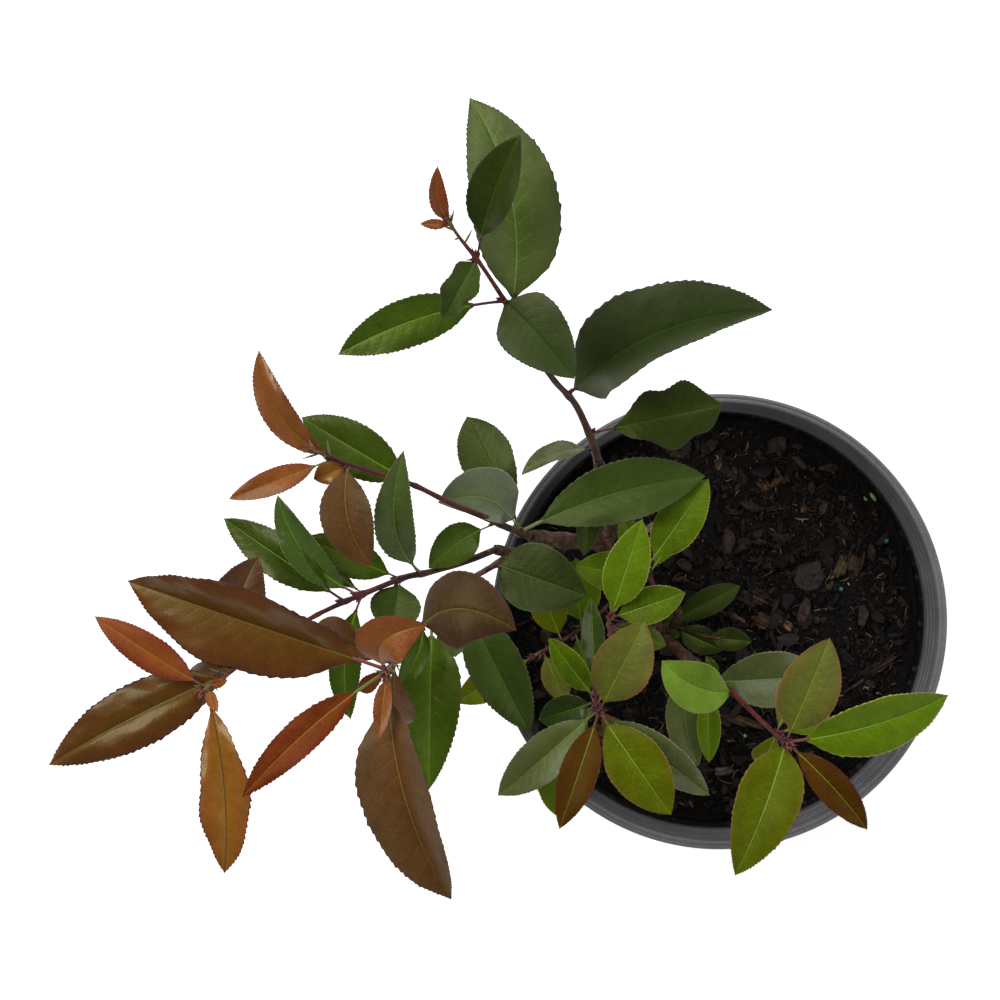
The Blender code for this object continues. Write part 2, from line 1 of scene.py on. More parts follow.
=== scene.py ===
"""Looks of a potted red robin photinia, seen from straight above.

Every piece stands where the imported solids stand, in metres. The leafy shoots are grown
again by the solids' own rule, with serrated, veined and folded leaves.
"""

import math
import random
from dataclasses import dataclass, replace

import bpy
import numpy as np
from mathutils import Matrix, Vector, noise


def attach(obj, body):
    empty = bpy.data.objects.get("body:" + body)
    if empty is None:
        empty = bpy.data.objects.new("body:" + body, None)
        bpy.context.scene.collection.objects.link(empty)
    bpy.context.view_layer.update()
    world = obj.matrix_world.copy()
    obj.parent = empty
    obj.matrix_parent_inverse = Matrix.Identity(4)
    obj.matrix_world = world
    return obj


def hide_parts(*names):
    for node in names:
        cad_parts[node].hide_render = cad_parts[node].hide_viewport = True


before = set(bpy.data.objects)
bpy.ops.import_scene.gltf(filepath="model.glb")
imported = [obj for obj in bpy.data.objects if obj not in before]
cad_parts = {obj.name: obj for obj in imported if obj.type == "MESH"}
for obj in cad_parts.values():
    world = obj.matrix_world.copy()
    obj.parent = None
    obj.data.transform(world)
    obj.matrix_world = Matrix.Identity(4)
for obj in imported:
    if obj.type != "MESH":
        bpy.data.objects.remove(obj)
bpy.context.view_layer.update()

MM = 0.001
UP = Vector((0, 0, 1))

# Camera: it looks straight down on the plane of the pot's rim
RIM_HEIGHT = 190 * MM
CAMERA_ABOVE_RIM = 1.300
CAMERA_PLACE = (-0.0963, 0.0534)
FRAME_WIDTH_AT_RIM = 0.4386
SENSOR_WIDTH = 36.0

# Lamps: where they all point, in metres
LIGHT_TARGET = Vector((-0.08, 0.03, 0.25))

# Pot and soil: lengths in millimetres
POT_RIM_RADIUS = 100.0
POT_BASE_RADIUS = 70.0
POT_HEIGHT = 190.0
POT_BAND_HEIGHT = 23.0
POT_STEP = 4.8
POT_WALL = 1.9
POT_FLOOR = 2.6
SOIL_TOP = 165.0
SOIL_FLAT_RADIUS = 58.0
SOIL_EDGE_DROP = 4.0
SOIL_LEAN_DROP = 5.0
SOIL_LEAN_BEARING = 20
SOIL_RINGS, SOIL_SIDES = 84, 260
RIM_RIDGES = 4
DRAIN_FLOOR_RADIUS = 54.0
DRAIN_HOLES = 6
HOLE_RING = 46.0
HOLE_RADIUS = 6.0
HOLE_SIDES = 16
DISC_RADIUS = 34.0
DISC_SIDES = 48
STRAND_PITCH = 1.6
STRAND_STEPS = 7

# Leaves: lengths in millimetres
FULLNESS_POWER = 0.72
UNDER_DROP = 36.0
UNDER_SLIP = 9.0
UNDER_WIDTH_SHARE = 0.48
UNDER_BELLY = 0.62
TOOTH_PITCH = 2.3
TOOTH_DEPTH = 0.50
TOOTH_LEAN = 0.60
LEAF_STATIONS = (0.0, 0.13, 0.36, 0.62, 0.86)
OUTLINE_STEPS = (-0.08, -0.04, 0.0, 0.04, 0.08)
FOLD_SOFTNESS = 0.5
BULGE = 0.55
SWAY = 0.35
VEIN_PITCH = 5.6
VEIN_SLANT = 0.80
MOST_SLANT = 0.20
BLADE_THICKNESS = 0.40
TIP_HALF_WIDTH = 0.12
EAR_PLACE = 0.13
EAR_REACH = 0.19
SHADE_REACH = 0.18
RIB_HALF_WIDTH = 0.28
COLUMN_SHARES = (0.0, 0.0, 0.13, 0.30, 0.48, 0.67, 0.85, 0.972, 1.0)
MARGIN = len(COLUMN_SHARES) - 1
COLUMNS = 2 * MARGIN + 1
TYPICAL_BLADE = 62
LEAST_SIZE, MOST_SIZE = 0.55, 1.15
FOOT_HALF_WIDTH = 0.75
GROOVE_DEPTH = 0.16
STALK_STEPS, STALK_SIDES = 7, 8

# Stems and buds
# A bud's profile: how far along it each ring lies, and its size
BUD_PROFILE = ((-0.15, 0.5), (0.15, 0.95), (0.4, 1.0), (0.7, 0.6), (1.0, 0.08))
BUD_SIDES = 6
NODE_SWELL = 0.34
TRUNK_FLARE = 0.45
STEM_FINENESS = 0.70
GREEN_TIP_AGE = 0.34


def srgb(red, green, blue):
    """A colour named by its screen values from 0 to 255, in linear light."""
    linear = []
    for value in (red, green, blue):
        share = value / 255
        linear.append(share / 12.92 if share <= 0.04045 else ((share + 0.055) / 1.055) ** 2.4)
    return tuple(linear)


class Signal:
    """One output in a finish's nodes, which arithmetic turns into Math nodes."""

    def __init__(self, finish, socket):
        self.finish = finish
        self.socket = socket

    def join(self, operation, first, second):
        return self.finish.node("ShaderNodeMath", {"operation": operation},
                                {0: first, 1: second})

    def __add__(self, other):
        return self.join("ADD", self, other)

    def __radd__(self, other):
        return self.join("ADD", other, self)

    def __sub__(self, other):
        return self.join("SUBTRACT", self, other)

    def __rsub__(self, other):
        return self.join("SUBTRACT", other, self)

    def __mul__(self, other):
        return self.join("MULTIPLY", self, other)

    def __pow__(self, other):
        return self.join("POWER", self, other)


# Every finish's material by its name
FINISHES = {}


class Finish:
    """A material in the making: its nodes round one Principled shader."""

    def __init__(self, name, **constants):
        self.material = bpy.data.materials.new(name)
        self.material.use_nodes = True
        FINISHES[name] = self.material
        self.tree = self.material.node_tree
        self.shader = self.tree.nodes["Principled BSDF"]
        for socket, value in constants.items():
            self.shader.inputs[socket.replace("_", " ")].default_value = value

    def feed(self, socket, value):
        """Link a signal to a socket, or set a plain value on it."""
        if isinstance(value, Signal):
            self.tree.links.new(value.socket, socket)
        elif isinstance(value, tuple) and len(value) == 3 and socket.type == "RGBA":
            socket.default_value = (*value, 1.0)
        else:
            socket.default_value = value

    def node(self, kind, settings=None, inputs=None, output=0):
        """Any node: its settings first, then its sockets' values or links."""
        made = self.tree.nodes.new(kind)
        for key, value in (settings or {}).items():
            setattr(made, key, value)
        for key, value in (inputs or {}).items():
            self.feed(made.inputs[key], value)
        return Signal(self, made.outputs[output])

    def ramp(self, value, *stops):
        """A colour picked by a value from stops, each a position and a colour."""
        picked = self.node("ShaderNodeValToRGB", None, {0: value})
        elements = picked.socket.node.color_ramp.elements
        while len(elements) > 1:
            elements.remove(elements[-1])
        for index, (position, colour) in enumerate(stops):
            element = elements[0] if index == 0 else elements.new(position)
            element.position = position
            element.color = (*colour, 1.0)
        return picked

    def mix(self, share, first, second):
        """A colour that goes from the first to the second as the share goes from 0 to 1."""
        return self.node("ShaderNodeMix", {"data_type": "RGBA"},
                         {0: share, 6: first, 7: second}, 2)

    def dim(self, colour, share):
        """A colour made darker or lighter by a number."""
        return self.node("ShaderNodeVectorMath", {"operation": "SCALE"},
                         {0: colour, 3: share})

    def place(self):
        """Where a point lies on the object, in metres."""
        return self.node("ShaderNodeTexCoord", output=3)

    def parts(self, vector):
        """A vector's three parts, each as a signal."""
        split = self.node("ShaderNodeSeparateXYZ", None, {0: vector})
        return [Signal(self, socket) for socket in split.socket.node.outputs]

    def grain(self, scale, detail=3.0, roughness=0.55, place=None):
        """Noise from 0 to 1 with about this many lumps a metre."""
        return self.node("ShaderNodeTexNoise", None,
                         {"Vector": place or self.place(), "Scale": scale, "Detail": detail,
                          "Roughness": roughness})

    def clip(self, value, low, high):
        """A value stretched so that low becomes 0 and high becomes 1."""
        return self.node("ShaderNodeMapRange", {"clamp": True, "interpolation_type": "SMOOTHSTEP"},
                         {0: value, 1: low, 2: high})

    def mark(self, name):
        """A number that the mesh holds at each point."""
        return self.node("ShaderNodeAttribute", {"attribute_name": name}, output=2)

    def set(self, **values):
        """Feed the shader's sockets."""
        for socket, value in values.items():
            self.feed(self.shader.inputs[socket.replace("_", " ")], value)

    def relief(self, height, distance, strength=1.0):
        """Bump the surface by a height from 0 to 1 that stands for this many metres."""
        normal = self.node("ShaderNodeBump", None,
                           {"Strength": strength, "Distance": distance, "Height": height})
        self.set(Normal=normal)


# Leaf colours
@dataclass
class Tint:
    """How one kind of leaf looks: colours by their screen values, gloss and relief."""
    blade: tuple
    heart: tuple
    rim: tuple
    under: tuple
    rib: tuple
    edge: tuple
    rough: float = 0.40
    coat: float = 0.0
    quilt: float = 0.08
    buckle: float = 0.22
    gloss: float = 0.32
    veins: float = 0.12

    def __post_init__(self):
        for part in ("blade", "heart", "rim", "under", "rib", "edge"):
            setattr(self, part, srgb(*getattr(self, part)))


TINTS = {
    "deep": Tint((40, 56, 11), (52, 74, 4), (40, 52, 20), (92, 112, 64), (62, 82, 26), (58, 62, 36),
        0.42),
    "dusk": Tint((48, 66, 19), (57, 78, 16), (48, 62, 24), (100, 118, 74), (76, 96, 44), (74, 86, 48),
        0.45, 0.0, 0.10, 0.26, 0.32, 0.20),
    "slate": Tint((46, 58, 26), (44, 62, 14), (58, 66, 42), (96, 108, 74), (50, 62, 28), (60, 64, 44),
        0.46),
    "khaki": Tint((70, 82, 34), (68, 90, 14), (60, 72, 30), (104, 118, 72), (112, 130, 62), (66, 72, 42),
        0.42, 0.0, 0.08, 0.30, 0.32, 0.20),
    "sage": Tint((70, 88, 36), (76, 98, 30), (68, 82, 42), (110, 126, 84), (124, 146, 76), (104, 120, 66),
        0.42),
    "leaf": Tint((56, 78, 10), (66, 94, 4), (52, 68, 14), (106, 128, 60), (112, 142, 38), (74, 82, 34),
        0.38, 0.05, 0.08, 0.30),
    "glossy": Tint((51, 72, 26), (58, 86, 20), (48, 64, 26), (100, 122, 60), (130, 150, 60),
        (92, 108, 50), 0.26, 0.25, 0.10, 0.45),
    "lime": Tint((86, 112, 8), (90, 122, 6), (94, 114, 16), (132, 150, 78), (144, 168, 66),
        (150, 158, 66), 0.46, 0.0, 0.10, 0.26, 0.20, 0.20),
    "pale": Tint((104, 134, 38), (110, 142, 34), (106, 128, 48), (140, 158, 88), (156, 180, 86),
        (154, 164, 84), 0.42, 0.0, 0.10, 0.4),
    "moss": Tint((86, 96, 2), (86, 106, 1), (94, 92, 14), (128, 138, 66), (140, 158, 60), (128, 104, 46),
        0.46, 0.0, 0.10, 0.26, 0.18, 0.20),
    "olive": Tint((98, 102, 34), (98, 110, 24), (112, 88, 40), (138, 136, 80), (140, 150, 40),
        (136, 88, 54), 0.46, 0.0, 0.10, 0.26, 0.24, 0.20),
    "grey": Tint((82, 92, 42), (84, 98, 34), (88, 94, 54), (132, 140, 102), (132, 144, 88),
        (124, 128, 84), 0.38, 0.06, 0.10, 0.30, 0.40),
    "ash": Tint((90, 98, 70), (90, 104, 60), (96, 102, 80), (138, 144, 116), (138, 148, 104),
        (130, 134, 100), 0.38, 0.06, 0.10, 0.30, 0.40),
    "umber": Tint((90, 50, 14), (94, 62, 10), (84, 42, 22), (132, 84, 60), (112, 98, 38), (66, 32, 30),
        0.36, 0.13, 0.05, 0.55, 0.30),
    "plum": Tint((72, 40, 24), (80, 48, 24), (66, 37, 28), (116, 78, 60), (96, 70, 46), (62, 34, 34),
        0.40, 0.0, 0.10, 0.4),
    "taupe": Tint((88, 58, 28), (98, 54, 16), (86, 62, 38), (138, 104, 78), (118, 108, 38), (92, 56, 44),
        0.46, 0.0, 0.08, 0.35, 0.24),
    "cocoa": Tint((64, 44, 24), (72, 54, 18), (68, 40, 30), (128, 104, 72), (110, 104, 42), (82, 50, 40),
        0.46, 0.0, 0.08, 0.3, 0.18),
    "gold": Tint((130, 78, 22), (134, 90, 8), (120, 64, 28), (154, 110, 66), (74, 58, 18), (96, 56, 28),
        0.32, 0.16, 0.06, 0.5, 0.32),
    "flame": Tint((122, 58, 26), (132, 70, 20), (110, 42, 26), (170, 108, 72), (140, 106, 42),
        (108, 46, 32), 0.40, 0.05, 0.05, 0.35, 0.26),
    "ember": Tint((120, 54, 22), (128, 62, 16), (104, 38, 24), (168, 104, 70), (140, 100, 42),
        (104, 44, 32), 0.48, 0.0, 0.05, 0.30, 0.08),
    "amber": Tint((118, 66, 28), (126, 74, 22), (106, 54, 30), (168, 114, 78), (128, 96, 44),
        (104, 54, 36), 0.30, 0.30, 0.08, 0.55, 0.36),
    "copper": Tint((136, 74, 32), (142, 82, 26), (126, 64, 36), (168, 114, 78), (146, 114, 52),
        (114, 60, 38), 0.38, 0.05, 0.08, 0.4),
    "rust": Tint((82, 46, 4), (84, 52, 4), (80, 40, 12), (128, 86, 54), (134, 140, 20), (86, 44, 26),
        0.44, 0.0, 0.08, 0.22, 0.20),
}
STALKS = {
    "wine": srgb(78, 40, 42),
    "rose": srgb(124, 66, 58),
    "lime": srgb(108, 120, 50),
    "brown": srgb(82, 54, 42),
}


@dataclass
class Leaf:
    """One leaf: lengths in millimetres, angles in degrees."""
    at: float
    bearing: float
    length: float
    width: float
    rise: float = 0.0
    arch: float = 0.07
    sweep: float = 0.0
    fold: float = 12.0
    roll: float = 0.0
    stalk: float = 0.12
    belly: float = 0.46
    under: float = 0.0
    under_turn: float = 0.0
    tint: str = "deep"
    # Its stalk's colour, where it isn't the shoot's usual one
    stem: str = ""
    wave: float = 0.5
    cup: float = 0.0
    lobes: float = 0.0
    ear: float = 0.0
    # How much lighter than its kind the leaf is painted, darker below 0: partly the leaf's own tone,
    # partly painted highlight and painted shade for how the leaf is lit
    light: float = 0.0


@dataclass
class Limb:
    """One tapering limb: a route of points and its radius at both ends, in millimetres."""
    name: str
    route: tuple
    thick: float
    thin: float

    def radius(self, share):
        """Its radius at a share of its length."""
        return self.thick + (self.thin - self.thick) * share


@dataclass
class Shoot(Limb):
    """A leafy stem: its leaves, their usual stalks, and its bark's age, 0 new and 1 old."""
    slot: str
    stalks: str
    age: float
    leaves: tuple
    fineness: float = STEM_FINENESS


TRUNK = Limb("trunk", ((-27, -6, 160), (-28, -5, 178), (-30, -2, 194)), 5.2, 4.6)

BOUGHS = (
    Limb("left_bough", ((-30, -2, 194), (-38, 14, 204), (-52, 34, 216), (-68, 36, 238),
                        (-83, 38, 258)), 4.4, 2.9),
    Limb("top_bough", ((-51, 32, 215), (-49, 44, 226), (-51, 57, 240), (-55, 68, 255)),
         3.0, 2.7),
    Limb("fork_bough", ((-74, 37, 246), (-82, 30, 256), (-98, 33, 270)), 2.5, 2.2),
    Limb("front_bough", ((-28, -5, 175), (-40, -16, 200), (-52, -21, 235), (-57, -25, 270)),
         2.9, 1.9),
    Limb("middle_bough", ((-29, -4, 181), (-38, -1, 192), (-44, -1, 212), (-47, -4, 240),
                          (-50, -2, 268)), 2.5, 1.7),
    Limb("right_bough", ((-28, -5, 178), (-20, -11, 190), (-11, -18, 205), (-3, -24, 221)),
         2.7, 2.0),
    Limb("back_bough", ((-28, -5, 178), (-19, 0, 190), (-21, 9, 208), (-30, 15, 228)),
         2.2, 1.6),
)

SHOOTS = (
    Shoot("long_shoot", (
        (-55, 68, 255), (-59, 79, 272), (-66, 92, 297), (-75, 101, 315), (-83, 112, 332), (-94, 129, 353),
        (-104, 143, 370), (-111, 151, 380), (-116, 158, 388)),
        2.4, 0.9, "leaf_green", "wine", 0.55, (
        Leaf(0.01, -98, 41, 12, -10, tint="dusk"),
        Leaf(0.06, 198, 33, 11, 14, roll=40, sweep=-0.13, tint="grey", light=-0.28),
        Leaf(0.14, 12, 56, 27, 0, fold=6, stalk=0.18, belly=0.56, wave=1.0, lobes=0.14),
        Leaf(0.335, 22.5, 88, 42, 8, fold=36, roll=-26, sweep=0.10, stalk=0.04, belly=0.38, tint="slate",
             wave=0.7, ear=0.42),
        Leaf(0.715, -48, 40, 28, -3, roll=8, sweep=0.02, stalk=0.01, belly=0.31, tint="slate",
             light=0.34),
        Leaf(0.68, 101, 83, 38, 3, fold=14, roll=15, stalk=0.06, sweep=-0.10, belly=0.42, tint="khaki",
             wave=0.8, light=0.14),
        Leaf(0.715, 198, 67, 20, 3, roll=-12, stalk=0.18, sweep=-0.05, tint="leaf"),
        Leaf(0.86, -120, 26, 15, -8, fold=30, arch=0.16, stalk=0.04, belly=0.38, tint="dusk", wave=1.6,
             lobes=0.12),
        Leaf(0.86, 70, 53, 21, 27, fold=24, roll=-14, stalk=0.2, sweep=0.04, light=-0.34),
        Leaf(0.98, 103, 25, 8, 34, fold=30, sweep=0.10, tint="flame", stem="rose"),
        Leaf(0.98, 180, 12, 4, 18, tint="copper", stem="lime"),
    )),
    Shoot("copper_shoot", (
        (-83, 38, 258), (-93, 42, 268), (-104, 47, 283), (-116, 52, 295), (-130, 59, 305),
        (-142, 63, 313), (-155, 67, 322), (-165, 71, 330), (-170, 73, 335)),
        2.2, 0.9, "leaf_copper", "lime", 0.35, (
        Leaf(0.05, 115, 54, 24, -7, belly=0.60, tint="dusk"),
        Leaf(0.06, 160, 38, 28, 20, arch=0.08, sweep=-0.22, fold=28, roll=26, stalk=0.14, belly=0.42,
             tint="ash"),
        Leaf(0.06, 17, 80, 27, 5, sweep=0.05, belly=0.52, tint="dusk", light=0.08),
        Leaf(0.18, 213, 36, 17, 22, stalk=0.24, sweep=-0.06, tint="leaf"),
        Leaf(0.57, 149, 54, 22, -3, tint="leaf", stem="wine"),
        Leaf(0.84, -77, 41, 22, 0, roll=8, arch=0.10, sweep=-0.12, stalk=0.05, tint="taupe", light=-0.16),
        Leaf(0.84, 202, 15, 10, -5, tint="gold"),
        Leaf(0.92, 123, 50, 15, 10, fold=32, sweep=0.14, stalk=0.04, belly=0.5, tint="amber", wave=0.9,
             cup=-0.15, light=0.08, stem="rose"),
        Leaf(0.90, 201, 44, 11, 3, fold=16, stalk=0.18, tint="copper"),
    )),
    Shoot("bronze_shoot", (
        (-98, 33, 270), (-111, 28, 275), (-125, 24, 282), (-135, 22, 288), (-148, 17, 296),
        (-160, 12, 304), (-174, 5, 312), (-189, -5, 321), (-202, -14, 330), (-212, -21, 337)),
        2.0, 0.9, "leaf_bronze", "wine", 0.35, (
        Leaf(0.24, 97, 64, 18, 39, arch=0.09, sweep=0.12, fold=24, tint="sage", light=0.14, stem="lime"),
        Leaf(0.31, 157, 43, 17, -6, tint="leaf"),
        Leaf(0.31, -100, 22, 22, 4, tint="dusk", stem="lime"),
        Leaf(0.50, 146, 60, 18, -8, under=0.5, tint="leaf", light=-0.40),
        Leaf(0.45, 129, 52, 16, 4, sweep=0.12, fold=28, tint="glossy", light=0.70, stem="rose"),
        Leaf(0.44, -96, 53, 14, -14, sweep=-0.08, tint="leaf", stem="rose"),
        Leaf(0.60, 205, 34, 13, -40, tint="leaf"),
        Leaf(0.72, 190, 30, 13, -44, tint="olive"),
        Leaf(0.94, 72, 51, 25, 5, sweep=0.05, roll=10, tint="plum"),
        Leaf(0.91, 207, 79, 27, -2, sweep=-0.02, fold=16, stalk=0.03, under=0.45, under_turn=-6,
             tint="umber", cup=-0.30, wave=0.9, light=-0.18),
        Leaf(0.99, 146, 52, 15, 12, fold=18, tint="flame", cup=-0.25, light=0.10, stem="rose"),
        Leaf(0.99, -85, 73, 21, -4, sweep=0.05, fold=14, stalk=0.10, belly=0.55, tint="gold", wave=1.0,
             lobes=0.06, stem="rose"),
        Leaf(1.00, 300, 13, 5, 40, tint="copper", stem="lime"),
        Leaf(0.97, 20, 12, 4, 50, tint="copper", stem="lime"),
    )),
    Shoot("tall_shoot", (
        (-92, 31, 264), (-100, 26, 281), (-109, 21, 302), (-116, 15, 325), (-124, 8, 355), (-130, 0, 380),
        (-135, -6, 402), (-138, -10, 415)),
        1.9, 1.0, "leaf_bronze", "lime", 0.35, (
        Leaf(0.09, -19, 40, 30, 6, roll=-4, stalk=0.03, belly=0.40, tint="dusk", light=-0.34),
        Leaf(0.35, -63, 64, 23, -6, under=0.5, tint="dusk", light=0.34),
        Leaf(0.57, -91, 68, 25, -4, arch=0.05, belly=0.34, under=0.4, under_turn=20, tint="leaf",
             light=0.42),
        Leaf(0.67, -1, 39, 31, 22, arch=0.20, sweep=0.20, fold=4, roll=-10, stalk=0.03, belly=0.40,
             tint="cocoa", wave=1.6, cup=-0.2),
        Leaf(0.64, -112, 27, 11, 12, fold=30, sweep=0.08, tint="leaf", stem="rose"),
        Leaf(0.97, -75, 88, 36, -6, fold=22, roll=34, sweep=-0.07, under=0.38, under_turn=-16,
             tint="taupe", light=0.12),
        Leaf(0.97, 221, 70, 14, 4, fold=14, stalk=0.2, sweep=-0.04, under=0.3, tint="ember", light=-0.16),
        Leaf(0.97, 161, 100, 42, 2, fold=30, roll=-28, arch=0.05, belly=0.50, under=0.4, tint="umber",
             cup=-0.14, wave=1.0, stem="rose"),
        Leaf(1.00, 50, 29, 21, 36, arch=0.20, sweep=0.28, fold=16, tint="copper", stem="rose"),
        Leaf(1.00, -96, 25, 8, 18, fold=30, tint="copper"),
    )),
    Shoot("front_shoot", (
        (-57, -25, 270), (-58, -27, 290), (-57, -31, 312)),
        1.8, 1.0, "leaf_fresh", "lime", 0.3, (
        Leaf(0.15, 93, 42, 11, 20, fold=26, stalk=0.28, tint="glossy"),
        Leaf(0.45, 127, 32, 12, 14, tint="lime"),
        Leaf(0.60, 198, 24, 16, -5, fold=26, tint="glossy"),
        Leaf(0.72, -103, 53, 24, -18, sweep=-0.12, tint="lime"),
        Leaf(0.88, -38, 59, 17, -12, tint="grey", stem="rose"),
        Leaf(0.90, 221, 53, 21, -4, fold=24, under=0.5, tint="grey", light=0.48),
        Leaf(0.98, -55, 50, 25, 1, under=0.5, tint="moss", stem="rose"),
        Leaf(0.98, -109, 49, 16, 9, fold=10, tint="rust", stem="rose"),
        Leaf(0.98, 64, 42, 25, 14, under=0.5, tint="olive", stem="rose"),
    )),
    Shoot("middle_shoot", (
        (-50, -2, 268), (-52, 2, 283), (-52, 6, 297)),
        1.6, 1.0, "leaf_fresh", "rose", 0.2, (
        Leaf(0.97, 73, 45, 19, 22, under=0.55, tint="lime"),
        Leaf(0.97, 19, 32, 16, 4, tint="lime", light=-0.20),
        Leaf(0.60, -20, 26, 12, -14, tint="leaf"),
    )),
    Shoot("back_shoot", (
        (-30, 15, 228), (-33, 21, 242), (-35, 26, 255)),
        1.5, 1.0, "leaf_fresh", "lime", 0.3, (
        Leaf(0.97, 56, 46, 20, 17, under=0.55, tint="lime", light=-0.18),
        Leaf(0.45, 170, 32, 18, -4, tint="lime"),
        Leaf(0.60, 115, 28, 13, -16, tint="lime"),
    )),
    Shoot("right_shoot", (
        (-3, -24, 221), (3, -29, 235), (8, -34, 248), (14, -40, 264), (21, -46, 282)),
        1.9, 1.1, "leaf_fresh", "rose", 0.15, (
        Leaf(0.97, 69, 48, 26, 16, under=0.5, tint="olive"),
        Leaf(0.97, 16, 69, 27, 0, roll=24, sweep=-0.04, under=0.45, tint="lime", light=0.12),
        Leaf(0.97, -111, 58, 28, 2, sweep=0.02, stalk=0.03, belly=0.38, under=0.3, tint="moss"),
        Leaf(0.97, -47, 50, 15, -6, sweep=0.03, tint="rust", light=-0.14),
        Leaf(0.20, 155, 34, 23, 12, sweep=0.12, stalk=0.02, tint="pale", light=0.56),
        Leaf(0.06, 120, 14, 5, 4, stalk=0.3, tint="leaf", stem="lime"),
    )),
    Shoot("low_right_shoot", (
        (-16, -14, 196), (-12, -20, 202), (-6, -26, 208)),
        1.5, 1.0, "leaf_fresh", "lime", 0.5, (
        Leaf(0.30, -85, 45, 18, -2, sweep=-0.10, tint="grey"),
        Leaf(0.95, -88, 36, 11, -10, tint="lime"),
        Leaf(0.95, 3, 50, 28, -5, fold=24, stalk=0.08, belly=0.50, tint="grey", stem="rose"),
    ), 0.60),
    Shoot("floor_shoot", (
        (-28, -5, 172), (-19, -3, 183), (-8, -6, 192), (0, -7, 198)),
        1.5, 0.9, "leaf_green", "wine", 1.3, (
        Leaf(0.10, 29, 41, 13, 6, sweep=0.02, belly=0.60),
        Leaf(0.04, 14, 15, 11, 14, tint="dusk"),
        Leaf(0.34, -24, 24, 13, 4),
        Leaf(0.80, -6, 20, 11, 0, stem="brown"),
    ), 0.55),
    Shoot("low_left_shoot", (
        (-42, 19, 207), (-52, 6, 218), (-68, -5, 234), (-82, -12, 245)),
        1.6, 0.9, "leaf_green", "lime", 0.5, (
        Leaf(0.55, 95, 30, 20, 6, tint="lime"),
        Leaf(0.75, 112, 30, 16, 6, tint="moss"),
        Leaf(0.62, -70, 26, 12, -10, tint="leaf"),
        Leaf(0.92, -66, 24, 12, -6, tint="olive"),
        Leaf(0.98, 211, 40, 16, -6, tint="moss"),
    ), 0.60),
)


# Litter on the soil: x, y, length, width, bearing and finish
FLAKES = (
    (42.2, 19.9, 17, 14, 60, "chip_grey"),
    (27.9, 78.0, 14, 8, 35, "chip_dark"),
    (32.4, 8.7, 8, 7, 20, "chip_dark"),
    (40.4, 1.1, 10, 9, 70, "chip_dark"),
    (31.9, -9.1, 12, 7, 5, "chip_grey"),
    (66.0, 2.0, 11, 7, 80, "chip_dark"),
    (-74.0, -30.0, 14, 6, 10, "chip_dark"),
    (-20.4, -13.6, 13, 6, 5, "chip_pink"),
    (52.0, -48.0, 12, 8, 40, "chip_dark"),
    (-28.0, 41.0, 10, 6, 20, "chip_pale"),
    (-37.0, 37.0, 9, 6, -30, "chip_dark"),
)

# Torn chips, by the same measures
WOOD_CHIPS = (
    (17.6, 10.1, 19, 9, -25, "chip_red"),
    (55.4, 22.0, 13, 4.5, 65, "chip_tan"),
    (62.2, 25.0, 13, 7.5, 75, "chip_brown"),
    (21.6, -1.1, 11, 6, -30, "chip_red"),
    (31.5, -2.0, 10, 3.6, -40, "chip_tan"),
    (7.3, 1.6, 19, 2.6, -30, "chip_brown"),
    (71.7, -22.5, 33, 4.4, 31, "chip_brown"),
    (7.8, -44.0, 27, 4.0, -20, "chip_tan"),
    (3.3, -67.7, 10, 3.4, 10, "chip_pale"),
    (22.0, 60.0, 13, 5, -50, "chip_brown"),
    (-44.9, 39.1, 20, 8, 10, "chip_brown"),
    (-50.0, -52.0, 16, 6, -35, "chip_brown"),
    (40.0, -62.0, 14, 5, 35, "chip_brown"),
    (2.0, 70.0, 9, 3, 60, "chip_brown"),
)

# Looped straws: x, y, length, bearing and curl
LOOPS = (
    (1.0, -70.0, 12, -60, 3.6),
    (8.0, -73.0, 10, 100, 3.0),
    (14.0, -58.0, 9, 30, -2.6),
    (-8.0, -78.0, 9, 10, 2.0),
    (20.0, 44.0, 8, 60, 1.5),
)

# Beads: x, y, radius, finish, stretch and bearing
BEADS = (
    (76.6, 35.1, 1.1, "bead_teal", 1.2, 20),
    (56.0, 13.6, 1.0, "bead_teal", 1.0, 0),
    (70.8, 54.8, 0.85, "bead_green", 2.8, -55),
    (67.4, 54.0, 0.7, "bead_green", 1.9, -50),
    (13.0, -52.0, 0.9, "bead_green", 1.0, 0),
    (-34.0, 66.0, 1.0, "bead_teal", 1.0, 0),
    (24.0, -70.0, 1.0, "bead_teal", 1.0, 0),
)

# A bead's profile: how far along it each ring lies, and its size
BEAD_PROFILE = ((-0.95, 0.25), (-0.7, 0.7), (-0.2, 0.98), (0.3, 0.95), (0.75, 0.65),
                (0.96, 0.22))

# Each litter finish's dark and light colour
CHIP_COLOURS = {
    "crumb": ((7, 5, 5), (36, 27, 22)),
    "crumb_brown": ((20, 14, 10), (70, 52, 40)),
    "chip_dark": ((14, 11, 10), (50, 40, 36)),
    "chip_brown": ((44, 29, 20), (98, 70, 46)),
    "chip_tan": ((66, 50, 28), (122, 98, 62)),
    "chip_red": ((48, 30, 20), (104, 68, 46)),
    "chip_grey": ((26, 22, 22), (62, 52, 51)),
    "chip_pale": ((74, 60, 50), (146, 128, 112)),
    "chip_pink": ((78, 60, 52), (128, 104, 92)),
    "speck": ((120, 112, 98), (190, 184, 170)),
}


